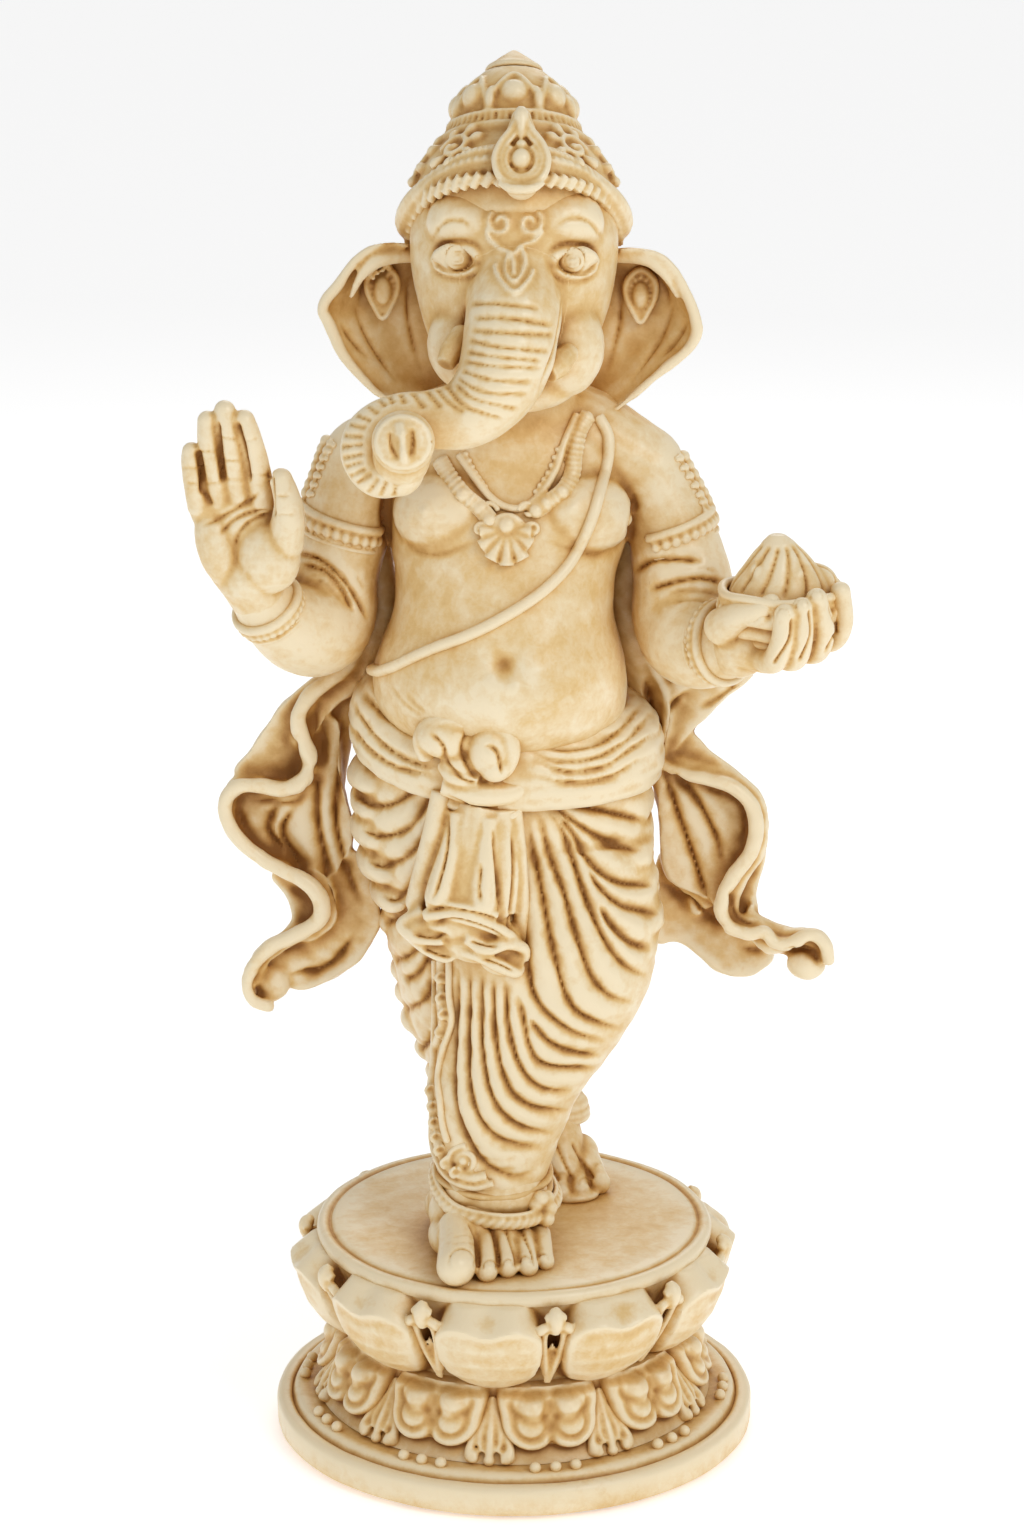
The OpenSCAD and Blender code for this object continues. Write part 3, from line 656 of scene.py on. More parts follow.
def upper_radius(angle, z):
    bowl = np.interp(z, [46, 50, 60, 74, 84, 91], [69, 70, 73, 79, 83, 85])
    side = petal_angle(angle, UPPER_TURN)
    half = np.interp(z, [45, 46.5, 48, 51, 56, 63, 70, 76, 82, 86, 91],
                     [3, 7, 9.5, 11.8, 13.8, 15, 15.3, 15, 14, 13.2, 12.6])
    across = np.abs(side) / half
    face = np.interp(z, [45, 47, 50, 56, 64, 72, 80, 84, 90], [71, 75, 80, 87, 93, 96.5, 98.8, 99.6, 100.5])
    face = face - 5.5 * np.clip(across, 0,
                                1.2) ** 2.4 - 0.9 * np.exp(-((z - 70) / 9) ** 2) * (1 - across ** 2)
    lip = 79.8 + 3.4 * (1 - np.exp(-(side / 4.6) ** 2)) - 9 * (np.abs(side) / 15) ** 4
    hollow = 0.9 * np.exp(-((lip - z - 4) / 3.4) ** 2) * np.clip(1 - across ** 2, 0, 1)
    over = np.clip(z - lip, 0, None)
    petal = face - hollow - over * 1.3
    edge = np.clip((1.04 - across) / 0.09, 0, 1)
    edge = edge * edge * (3 - 2 * edge)
    return bowl + (np.maximum(petal, bowl) - bowl) * edge


upper = field("upper_lotus", np.linspace(UPPER_LOW, UPPER_HIGH, 64), upper_radius, 800)
apply_modifier(upper, "SMOOTH", factor=0.5, iterations=1)
finish_piece(upper, FIGURE_RESIN, "upper_lotus_bowl", "upper_petals")


# %% fleur buds between the upper petals
def bud(angle):
    def at(side, z, lift=0.0):
        r = float(np.interp(z, [46, 52, 60, 70, 80, 88, 91], [72, 76, 80.5, 85.5, 90, 91, 90])) + lift
        t = math.radians(angle) + side / r
        return (r * math.cos(t), r * math.sin(t), z)
    parts = []
    for s in (-1, 1):
        parts.append(rod([(*at(s * 0.6, 49), 1.0), (*at(s * 1.6, 58), 1.3), (*at(s * 3.4, 68), 1.5),
                          (*at(s * 4.2, 76), 1.6), (*at(s * 3.2, 82, 0.5), 1.6)]))
        parts.append(rod([(*at(s * 2.2, 82.5, 1), 1.7), (*at(s * 5.2, 81.5, 1), 2.2),
                          (*at(s * 7.4, 79.5, 0.5), 1.9), (*at(s * 8.6, 82, 0), 1.1)]))
        parts.append(rod([(*at(s * 2.0, 54, -1), 0.9), (*at(s * 5, 66, -1), 1.2),
                          (*at(s * 8, 75, -0.5), 1.3), (*at(s * 9.6, 84, -1), 0.9)]))
    parts.append(rod([(*at(0, 79, 1), 2.0), (*at(0, 83, 2), 3.0), (*at(0, 87, 1.5), 3.4),
                      (*at(0, 90, -0.5), 2.0)]))
    parts.append(rod([(*at(-4, 85.5, 0.5), 2.0), (*at(0, 87.5, 1.4), 2.6), (*at(4, 85.5, 0.5), 2.0)]))
    parts.append(rod([(*at(0, 52, -1), 1.0), (*at(0, 62, -1.5), 1.4), (*at(0, 72, -1.5), 0.8)]))
    return parts


buds = clay("upper_buds_carved", 0.85, 1, [bud(BUD_TURN + 36 * k) for k in range(10)])
finish_piece(buds, BASE_RESIN, "upper_buds")

# %% standing disc
DISC_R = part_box("top_disc")[1][0] * 1000
disc = turned("standing_disc", rows_between([
    (4, 88.5), (DISC_R - 3, 88.5), (DISC_R - 0.6, 89.4), (DISC_R, 91), (DISC_R - 0.3, 93),
    (DISC_R - 1.4, 94.4), (DISC_R - 3, 94.9), (DISC_R - 4.6, 94.7), (DISC_R - 5.6, 93.9),
    (DISC_R - 6.2, 93.8), (DISC_R - 7, 94.6), (DISC_R - 8.4, 95.1), (60, 95.1), (4, 95.1)], 5), 300)
roughen(disc, 45, 0.16, 2.0)
finish_piece(disc, BASE_RESIN, "top_disc")

# %% [markdown]
# ## Hips and legs
# The wrap, the two legs and their pleats are one clay form, so the folds run through from the waist
# to the ankles. It is parted afterwards where the castings part: level below the hips, and upright
# between the legs.

# %% more clay tools
def around(tree, middle, stops, per=5, reach=140):
    """Points (degrees from the front, height) thrown inwards onto a form; positive is the +X side."""
    out = []
    for degrees, z in smooth_path(stops, per):
        t = math.radians(degrees)
        way = Vector((-math.sin(t), math.cos(t), 0))
        start = Vector((middle[0] * MM, middle[1] * MM, z * MM)) - way * reach * MM
        hit = tree.ray_cast(start, way)[0]
        if hit is not None:
            out.append(np.array(hit) / MM)
    return np.array(out)


def seen(x, z, y, *rest):
    """The point that the front view shows at (x, z), set at the depth y."""
    return (x * (1 + y / 1700), y, z - (803 - z) * y / 1700, *rest)


def lump(x, z, y, *rest):
    """Ball or egg whose middle the front view shows at (x, z), at the depth y."""
    return ball(*seen(x, z, y), *rest)


def crease_all(obj, tree, lines, width, depth, fade=0.15):
    """Creases along several front-view lines."""
    crease(obj, [front(tree, line) for line in lines], width, depth, fade)


def twin(obj, name):
    other = obj.copy()
    other.data = obj.data.copy()
    other.name = name
    bpy.context.collection.objects.link(other)
    return other


def part_off(obj, place, way, name):
    """Cut a form with a plane; the half that the arrow points to comes back as a second object."""
    other = twin(obj, name)
    for piece, inner in ((obj, False), (other, True)):
        select_only(piece)
        bpy.ops.object.mode_set(mode="EDIT")
        bpy.ops.mesh.select_all(action="SELECT")
        bpy.ops.mesh.bisect(plane_co=[v * MM for v in place], plane_no=way, use_fill=True,
                            clear_inner=inner, clear_outer=not inner)
        bpy.ops.object.mode_set(mode="OBJECT")
    return other


def lift_off(points, middle, by):
    """Push points outwards from an upright axis."""
    out = np.array(points, float)
    way = out[:, :2] - np.array(middle)
    out[:, :2] += by * way / np.linalg.norm(way, axis=1)[:, None]
    return out


def cord(points, r, sides=4, closed=False):
    """Rod along points that are already close together; r is one radius or one at each point."""
    radii = np.broadcast_to(np.asarray(r, float), (len(points),))
    return rod(np.column_stack([points, radii]), None, 1, sides, closed)


# %% hips and legs as one clay
HIP_SEAM = 262
skirt = clay(
    "skirt", 1.05, 3,
    body_form([[234, 2, -3, 44, 30], [248, 0, -3, 54, 37], [262, -2, -4, 60, 42], [284, -3, -5, 63, 44],
               [298, -4, -5, 61, 43], [312, -3, -6, 57, 42], [322, -3, -6, 50, 38]]),
    body_form([[120, -9, -24, 22, 20], [132, -9, -24, 25.5, 22.5], [146, -7, -24, 28.5, 24],
               [164, -3, -24, 32, 28], [186, 6, -22, 39, 32], [206, 11, -21, 45, 35],
               [222, 13, -19, 47.5, 37], [240, 13, -17, 49, 38], [258, 13, -13, 47.5, 38],
               [276, 10, -10, 46, 37]]),
    limb([(-34, 4, 268, 27), (-33, 5, 246, 25.5), (-28, 8, 214, 24.5), (-23, 15, 184, 23),
          (-14, 25, 160, 21), (2, 38, 146, 16), (16, 46, 136, 11)], sides=10),
    [rod([(17, 46, 140, 9.5), (19, 48, 132, 10.5), (20, 50, 127, 12)], sides=8)],
    # the scallops of the back leg's outline
    [ball(x, y, z, r, (1, 1, 0.72)) for x, y, z, r in
     [(-47, 8, 230, 12), (-43, 10, 218, 12), (-43, 12, 206, 11), (-41, 14, 195, 11), (-38, 16, 182, 12),
      (-33, 20, 167, 11), (-29, 22, 155, 10)]],
    # the bulges of the wrap at both hips
    [ball(x, y, z, r, (1, 1.6, 0.7)) for x, y, z, r in
     [(-57, -4, 299, 14), (-56, -4, 288, 14), (-55, -4, 276, 15), (-52.5, -4, 262, 15), (-48, -2, 247, 14),
      (46, -10, 268, 15), (48, -12, 254, 15), (50, -14, 240, 15), (49, -14, 226, 13)]])
tree = tree_of(skirt)
FRONT_FOLDS = [
    [(1, 276), (2, 250), (4, 225), (6, 208), (9, 196), (17, 186), (28, 179), (40, 176)],
    [(6, 278), (8, 262), (12, 243), (16, 222), (21, 202), (27, 190), (38, 184), (47, 182)],
    [(10, 282), (15, 262), (22, 243), (28, 222), (34, 206), (42, 197), (52, 194)],
    [(12, 285), (21, 272), (28, 252), (34, 235), (42, 219), (50, 210), (58, 206)],
    [(13, 286), (24, 273), (34, 257), (46, 249), (62, 248)],
    [(13, 287), (26, 276), (40, 267), (62, 262)],
    [(14, 288), (30, 283), (46, 279), (62, 275)],
    [(30, 258), (38, 246), (48, 238), (63, 235)],
    [(36, 240), (44, 228), (52, 221), (62, 218)],
    [(-4, 206), (-3, 182), (3, 163), (14, 153), (30, 154)],
    [(-9, 208), (-9, 178), (-3, 155), (8, 145), (24, 144)],
    [(-14, 210), (-15, 175), (-10, 150), (1, 137), (18, 133)],
    [(-19, 212), (-21, 175), (-19, 148), (-8, 131), (13, 126)],
    [(-24, 212), (-27, 172), (-26, 144), (-15, 121), (0, 113), (11, 118)],
    [(1, 200), (7, 172), (16, 164), (35, 163)],
    [(4, 190), (14, 176), (27, 170), (42, 169)],
]
HIP_FOLDS = [
    [(-31, 297), (-40, 293), (-50, 285), (-60, 283), (-69, 289)],
    [(-32, 292), (-37, 285), (-45, 273), (-56, 269), (-66, 273)],
    [(-33, 284), (-38, 270), (-46, 260), (-56, 256), (-63, 259)],
    [(-36, 268), (-42, 252), (-50, 241), (-57, 243)],
    [(-40, 248), (-47, 234), (-57, 230)],
    [(-38, 222), (-46, 215), (-54, 213)],
    [(-36, 215), (-43, 206), (-53, 203)],
    [(-33, 203), (-40, 194), (-50, 190)],
    [(-34, 180), (-40, 173), (-47, 173)],
    [(-35, 164), (-44, 160)],
    [(-35, 156), (-41, 152)],
]
crease_all(skirt, tree, FRONT_FOLDS, 8.5, 4.6, 0.2)
crease_all(skirt, tree, HIP_FOLDS, 7.5, 3.6, 0.1)
LEFT_MIDDLE, RIGHT_MIDDLE = (8, -16), (-18, 14)
side_folds = []
for z in (281, 267, 254, 240, 223, 211, 200, 188, 175, 162, 150):
    side_folds.append(around(tree, LEFT_MIDDLE, [(80, z), (105, z + 2), (140, z + 10), (175, z + 15)]))
for z in (284, 271, 258, 244, 231, 214, 203, 190, 173, 161):
    side_folds.append(around(tree, RIGHT_MIDDLE, [(-88, z), (-115, z + 2), (-150, z + 10), (-185, z + 16),
                                                  (-215, z + 14)]))
crease(skirt, side_folds, 7.5, 3.8, 0.15)
for z in (136, 141, 146):
    crease(skirt, [around(tree, (19, 48), [(-60, z), (0, z - 1), (60, z)])], 2.5, 0.8)
apply_modifier(skirt, "SMOOTH", factor=0.5, iterations=1)
roughen(skirt, 17, 0.22, 1.0)
recess(skirt)
hip_part = part_off(skirt, (0, 0, HIP_SEAM), (0, 0, 1), "hip_part")
right_part = part_off(skirt, (0, 10, 200), (-0.6, 0.8, 0), "right_leg_part")
print("faces of the left leg, hips and right leg:", len(skirt.data.polygons), len(hip_part.data.polygons),
      len(right_part.data.polygons))

finish_piece(hip_part, FIGURE_RESIN, "hip_wrap")

# %% [markdown]
# ## Hem and pleat border
# The wrap ends in a bound hem above the ankle, and an embroidered strip runs down the pleats to a
# scroll. Both are cords laid on the leg: their lines are thrown onto the form first, so that they
# follow it however it was smoothed.

# %% hem of the front leg, and the pleat border with its scroll
leg_tree = tree_of(skirt)
ANKLE = (-9, -24)
hem_stops = [(a, 127 - 4 * math.cos(math.radians(a - 10))) for a in range(-180, 180, 15)]
hem_line = around(leg_tree, ANKLE, hem_stops)
low_hem = [(x, y, z - 7, 2.2) for x, y, z in lift_off(hem_line, ANKLE, 0.2)[:-1:4]]
high_hem = [(x, y, z - 1, 1.8) for x, y, z in lift_off(hem_line, ANKLE, 0.6)[:-1:4]]
skirt = join("left_leg", skirt, rod(low_hem, None, 3, 4, True), rod(high_hem, None, 3, 4, True))
skirt.data.name = "left_leg"
finish_piece(skirt, FIGURE_RESIN, "left_leg_drape")
finish_piece(right_part, FIGURE_RESIN, "right_leg_drape")

border = front(leg_tree, [(-31, 214), (-31, 198), (-30, 186), (-34, 172), (-36, 160), (-35, 148),
                          (-34, 136), (-32, 126), (-27, 117), (-19, 113), (-12, 114)], 8)
border_left = front(leg_tree, [(-34, 214), (-34, 196), (-35, 184), (-37, 170), (-38, 158), (-37, 146),
                               (-36, 134), (-34, 123), (-28, 113), (-18, 109), (-9, 111)], 8)
border_right = front(leg_tree, [(-28, 214), (-28, 198), (-27, 186), (-31, 172), (-33, 160), (-32, 148),
                                (-31, 138), (-29, 130)], 8)
left, right = front(leg_tree, [(-30, 126), (-16, 126)], 0)
lean = (right[1] - left[1]) / (right[0] - left[0])
volute = []
for k in range(26):
    r, t = 7.2 - 0.25 * k, 0.45 * k + 1.4
    x, z = -22 + r * math.cos(t), 121 + r * math.sin(t)
    volute.append(seen(x, z, left[1] + lean * (x + 30) - 1.5, 1.5))
scrolls = []
for k in range(4, len(border) - 10, 5):
    x, y, z = border[k]
    for s in (-1, 1):
        bend = [(x + s * 0.4, y - 2.4, z + 3.4, 0.8), (x + s * 2.4, y - 2.2, z + 1, 1.0),
                (x + s * 1.4, y - 2.6, z - 1.2, 1.0), (x + s * 0.2, y - 2.8, z, 0.9)]
        scrolls.append(rod(bend))
pleat = clay("pleat_border_carved", 0.7, 1, [
    cord(border, 2.5), cord(border_left + (0, -1.2, 0), 1.7), cord(border_right + (0, -1.2, 0), 1.6),
    rod(volute, None, 2), lump(-22, 121, left[1] + lean * 8 - 1.5, 2.4), scrolls])
finish_piece(pleat, BASE_RESIN, "pleat_border")

# %% [markdown]
# ## Feet
# The front foot carries the weight and the back foot touches with its toes. A foot is three rods from
# ankle to toe roots, fused with one bent rod for each toe, and the gaps and nails are cut in after.

# %% toes and nails
DISC_TOP = 95


def toe(root, tip, r_root, r_tip, top=DISC_TOP):
    """Bent toe from its root to its tip, both (x, y), that rests on the standing disc."""
    (x0, y0), (x1, y1) = root, tip
    bend = lambda t, z, r: (x0 + (x1 - x0) * t, y0 + (y1 - y0) * t, z, r)
    return limb([bend(0, top + r_root + 4.5, r_root), bend(0.45, top + r_root + 2.2, r_root * 0.92),
                 bend(0.8, top + r_tip + 0.6, r_tip), bend(1, top + r_tip - 0.6, r_tip * 1.02)], 5, 5)


def nail(tree, x, z, r):
    """Line round the root and the sides of a nail, laid on the toe or finger from the front."""
    return front(tree, [(x + 1.05 * r * math.cos(t), z + 1.1 * r * math.sin(t))
                        for t in np.radians(range(-30, 211, 20))], 2)


# %% front foot
# each toe: root, tip, radius at the root, radius at the tip
TOES = [((-24, -46), (-24.5, -74), 8.6, 8.2), ((-12.5, -50), (-11.5, -70.5), 5.2, 4.6),
        ((-4, -50), (-2.8, -66), 5.0, 4.4), ((4, -46), (6.2, -64.5), 4.8, 4.2),
        ((11.5, -42), (13.5, -58), 4.4, 3.8)]
foot = clay("front_foot", 0.85, 3,
            limb([(-26, -6, 104, 12), (-22, -26, 112, 14), (-18, -44, 104, 11)], 6, 8),
            limb([(-14, -16, 108, 15), (-8, -34, 108, 13), (-4, -48, 102, 8)], 6, 8),
            limb([(-2, -14, 106, 12), (4, -34, 102, 9), (8, -44, 100, 6)], 6, 8),
            ball(-27, -40, 103, 10, (1, 1.5, 0.9)), ball(-12, -24, 118, 20, (1, 0.9, 1)),
            ball(-24, -31, 110, 13), ball(-19, -33, 120, 12),
            ball(-30, -14, 106, 9), ball(-9, -20, 134, 18, (1, 1, 1)),
            ball(-8, -30, 118, 19, (1.2, 0.9, 0.9)), [toe(*t) for t in TOES])
foot_tree = tree_of(foot)
NAILS = [(-23, 73.5, 5.4), (-10.8, 71, 2.9), (-2.6, 72, 2.4), (5, 73.5, 2.3), (12.8, 74.5, 2.2)]
crease_all(foot, foot_tree, [
    [(-20, 92), (-17, 84), (-16, 76), (-15.5, 69)], [(-11, 92), (-8.5, 84), (-7, 76), (-6.6, 68)],
    [(-4.5, 91), (-2, 84), (0.4, 76), (1.2, 69)], [(2, 91), (5, 84), (8, 77), (9.2, 70)]], 2.6, 1.8, 0.1)
crease_all(foot, foot_tree, [[(-28, 84), (-22, 86), (-17, 84)], [(-28, 81), (-22, 82.5), (-17, 81)]], 1.2,
           0.4)
crease(foot, [nail(foot_tree, *spot) for spot in NAILS], 1.6, 1.2, 0.05)
for x, z, r in NAILS:
    spot = front(foot_tree, [(x, z - 0.2 * r), (x, z)], 0)
    if len(spot):
        bump(foot, *spot[0], r * 0.7, 0.5)
finish_piece(foot, FIGURE_RESIN, "left_foot")

# %% back foot
back_foot = clay("back_foot", 0.8, 3,
                 limb([(18, 46, 124, 10), (20, 40, 114, 11), (21, 30, 105, 9)], 6, 8),
                 limb([(10, 40, 106, 9), (15, 26, 103, 6)], 6, 8),
                 limb([(29, 44, 107, 9), (31, 36, 104, 8)], 6, 8), ball(20, 45, 103, 11),
                 toe((14, 32), (13, 14), 5, 3.8), toe((20, 34), (21, 17), 5.2, 4),
                 toe((26, 36), (29.5, 20), 5.2, 4.2), toe((33, 40), (38, 27), 5.8, 5),
                 ball(25, 22, 96.5, 13, (1, 0.7, 0.25)))
back_tree = tree_of(back_foot)
crease_all(back_foot, back_tree, [
    [(18, 129), (22, 120), (26, 111)], [(25, 130), (30, 120), (35, 112)],
    [(13, 126), (16, 118), (20, 111)]], 2.6, 1.6, 0.1)
for x, z in ((21, 112), (31, 110), (38, 117)):
    crease(back_foot, [nail(back_tree, x, z, 2.6)], 1.0, 0.6, 0.05)
finish_piece(back_foot, BASE_RESIN, "right_foot")

# %% [markdown]
# ## Anklets
# The left anklet is a twisted rope with a knot, and the right one a ribbed cuff. The rope is three
# strands wound round one closed line, which shows the twist better than a bumped ring would.

# %% anklets
rope = smooth_path([(-34, -22, 125), (-32, -36, 120), (-24, -46, 115), (-8, -50, 112.5), (6, -47, 112),
                    (15, -36, 113), (18, -20, 114), (10, -2, 118), (-10, 6, 122), (-28, 0, 126)], 12, True)
TURNS, STRAND_OUT = 14, 1.3
rope_middle = np.array((-8, -22))
between = (rope + np.roll(rope, -1, 0)) / 2
fine_rope = np.stack([rope, between], 1).reshape(-1, 3)
strands = []
for start in (0, 2 * math.pi / 3, 4 * math.pi / 3):
    line = []
    for k, p in enumerate(fine_rope):
        out = p[:2] - rope_middle
        out = out / np.linalg.norm(out)
        turn = start + k * 2 * math.pi * TURNS / len(fine_rope)
        sway = STRAND_OUT * math.cos(turn)
        line.append((p[0] + out[0] * sway, p[1] + out[1] * sway, p[2] + STRAND_OUT * math.sin(turn)))
    strands.append(cord(np.array(line), 1.7, 3, True))
knot_balls = [ball(12 + 3 * math.cos(t), -40 + 2 * math.sin(2 * t), 115 + 5 * math.sin(t), 3.6)
              for t in np.linspace(0, 5.4, 7)]
anklet = clay("left_anklet_rope", 0.7, 0, strands, cord(rope + (0, 0, 3.6), 1.1, 3, True),
              knot_balls)
finish_piece(anklet, BASE_RESIN, "left_anklet")
cuff = clay("right_anklet_cuff", 0.7, 1, [
    rod([(20 + r * math.sin(t), 50 - r * math.cos(t), z, w) for t in np.linspace(0, 2 * math.pi, 16,
                                                                                 endpoint=False)],
        None, 4, 4, True) for r, z, w in [(10.5, 129, 3), (12, 126, 2.2), (12.8, 123.5, 1.6), (9, 131, 3)]])
finish_piece(cuff, BASE_RESIN, "right_anklet")

# %% [markdown]
# ## Sash, knot and tail
# The sash is rolled cloth: four soft rolls run round the hips, side by side, and rise to both sides.

# %% sash
def sash_roll(height, r, out):
    stops = []
    for degrees in range(0, 360, 20):
        t = math.radians(degrees)
        z = 304 + 7.5 * height + np.interp(degrees, [0, 40, 90, 180, 270, 320, 360],
                                           [0, 0, 1, 12, 15, 5, 0])
        stops.append((-3 + (57.5 + out) * math.sin(t), -6 - (41 + out) * math.cos(t), z, r))
    return rod(stops, None, 5, 6, True)


sash = clay("sash", 1.15, 5, [sash_roll(h, r, out) for h, r, out in (
    (-0.4, 5, 3.5), (0.2, 7, 2.6), (0.8, 7.2, 2.4), (1.4, 7.2, 1.8), (2.0, 6.6, 1), (2.6, 6, -2),
    (3.0, 5, -5), (2.4, 7, -7))])
tree = tree_of(sash)
crease_all(sash, tree, [
    [(6, 312), (20, 308), (34, 310), (46, 318), (56, 332)],
    [(4, 309), (18, 303), (34, 304), (48, 312), (58, 324)],
    [(6, 305), (22, 298), (38, 300), (50, 308), (60, 316)], [(10, 296), (24, 293), (40, 295), (54, 304)],
    [(-68, 328), (-62, 317), (-52, 307), (-40, 301), (-31, 300)],
    [(-64, 333), (-56, 324), (-46, 316), (-38, 312)], [(-70, 318), (-60, 306), (-48, 299), (-34, 297)],
    [(2, 315), (18, 314), (32, 318), (44, 327), (50, 336)], [(-60, 337), (-50, 328), (-41, 321)]], 5.5, 2.2,
           0.2)
crease(sash, [around(tree, (-3, -6), [(70, z), (120, z + 3), (180, z + 4), (240, z + 5), (290, z + 2)])
              for z in (303, 311, 319)], 4, 2)
roughen(sash, 15, 0.2, 3.0)
finish_piece(sash, FIGURE_RESIN, "waist_sash")

# %% knot
knot = clay("knot", 0.8, 3,
            lump(-28, 314, -54, 12, (1.1, 0.75, 0.8)), lump(-34, 315, -50, 8),
            lump(-24, 320, -55, 7, (1.6, 0.8, 0.6)), lump(-10, 308, -58, 9.5, (1, 0.8, 1.2)),
            lump(-8, 301, -58, 7), lump(-22, 302, -55, 7, (1.2, 0.8, 0.9)),
            lump(-14, 316, -56, 5, (1.4, 0.8, 0.7)),
            rod([seen(-30, 302, -52, 3.5), seen(-25, 296, -57, 3.6), seen(-15, 294, -58, 2.6)]),
            rod([seen(-30, 293, -52, 5), seen(-15, 289, -55, 6), seen(0, 290, -53, 5),
                 seen(6, 298, -50, 3)]),
            rod([seen(-28, 285, -50, 3), seen(-15, 280, -54, 3.4), seen(-2, 279, -53, 3),
                 seen(5, 287, -49, 2)]),
            rod([seen(-37, 304, -50, 3.6), seen(-38, 313, -52, 5), seen(-31, 320, -55, 5.6),
                 seen(-18, 321, -57, 5.4), seen(-6, 317, -58, 5), seen(-2, 308, -59, 4.8),
                 seen(-5, 299, -58, 4), seen(-13, 298, -57, 3)]),
            lump(-14, 298, -49, 14, (1.2, 0.6, 1)))
tree = tree_of(knot)
crease_all(knot, tree, [
    [(-3, 319), (-12, 319), (-19, 316), (-22, 309), (-20, 301), (-15, 294)],
    [(-29, 288), (-16, 282), (-2, 281), (5, 287)], [(-31, 306), (-26, 299), (-20, 294), (-14, 293)],
    [(-13, 310), (-8, 308), (-6, 303), (-5, 296)], [(-36, 316), (-30, 309), (-29, 301)]], 3.2, 2.2, 0.2)
finish_piece(knot, FIGURE_RESIN, "sash_knot")

# %% [markdown]
# ## Tail of the sash
# Two flat ends of cloth hang from the knot and turn under at their hems. Ribs and hem rolls are laid
# side by side as rods and fused, so that the cloth looks gathered at the top and opens downwards.

# %% tail
TAIL = [
    # main sheet and its soft ribs: (x, z, depth, radius) as the front view shows them
    [(-15, 284, -48, 9), (-18, 270, -50, 10), (-20, 254, -50, 11), (-22, 242, -50, 12),
     (-23, 234, -49, 11)],
    [(-6, 282, -50, 6), (-6, 266, -52, 7), (-6, 250, -53, 7.5), (-7, 236, -52, 7)],
    [(-31, 290, -50, 3.6), (-34, 272, -51, 4.2), (-38, 254, -49, 4.6), (-42, 238, -46, 4.4)],
    [(-23, 280, -53, 4), (-26, 264, -56, 5), (-30, 248, -57, 6), (-32, 240, -57, 6)],
    [(-11, 278, -55, 4), (-12, 262, -58, 5), (-13, 248, -59, 6), (-14, 238, -60, 6)],
    [(0, 282, -51, 3), (2, 262, -52, 3), (3, 244, -51, 3), (3, 228, -49, 3), (5, 214, -47, 2.4)],
    # hem and the folded ends under it
    [(-37, 240, -57, 2.2), (-28, 238, -62, 2.4), (-16, 236, -64, 2.4), (-7, 233, -62, 2)],
    [(-38, 234, -56, 2.6), (-28, 235, -62, 2.8), (-14, 231, -63, 2.8), (-4, 226, -60, 2.4),
     (2, 221, -54, 2)],
    [(-38, 236, -52, 3), (-44, 233, -50, 2.6), (-48, 229, -50, 2.6), (-41, 224, -54, 2.6),
     (-30, 223, -57, 2.4)],
    [(-46, 226, -50, 2.2), (-38, 219, -52, 2.4), (-29, 215, -54, 2.4), (-26, 219, -54, 2)],
    [(-20, 224, -60, 2.6), (-12, 219, -62, 2.8), (-3, 221, -60, 2.4), (4, 219, -56, 2.2),
     (5, 214, -53, 1.8)],
    [(-22, 218, -57, 2.2), (-14, 215, -60, 2.4), (-6, 211, -60, 2.6), (1, 208, -56, 2.2),
     (3, 211, -53, 1.8)]]
tail = clay("tail", 0.85, 4, [rod([seen(x, z, y, 1.15 * r) for x, z, y, r in line]) for line in TAIL],
            [lump(*spot, r, stretch) for spot, r, stretch in (
                ((-14, 223, -53), 13, (1.3, 0.6, 0.8)), ((-35, 228, -50), 10, (1.2, 0.6, 0.8)),
                ((-5, 215, -52), 9, (1.1, 0.6, 0.9)), ((-26, 221, -51), 8, (1.2, 0.6, 0.8)),
                ((-20, 232, -54), 14, (1.3, 0.6, 0.7)))])
tree = tree_of(tail)
crease_all(tail, tree, [
    [(-28, 280), (-29, 262), (-33, 246), (-36, 240)], [(-9, 274), (-8, 262), (-7, 250), (-6, 236)],
    [(-14, 258), (-15, 246), (-14, 239)], [(-1, 274), (0, 256), (-1, 240), (-3, 226)],
    [(-38, 236), (-28, 237), (-14, 234), (-5, 231)], [(-36, 229), (-26, 232), (-12, 228), (-2, 222)]], 3,
           2.2, 0.2)
crease_all(tail, tree, [
    [(-44, 226), (-36, 224), (-28, 225)], [(-40, 219), (-32, 216), (-26, 214)],
    [(-20, 222), (-12, 221), (-6, 219)], [(-16, 214), (-6, 212), (1, 208)]], 4.5, 2.6, 0.2)
finish_piece(tail, FIGURE_RESIN, "sash_tail")

# %% [markdown]
# ## Torso and arms
# Torso, shoulders and both arms are one clay form, parted upright at the shoulders afterwards.

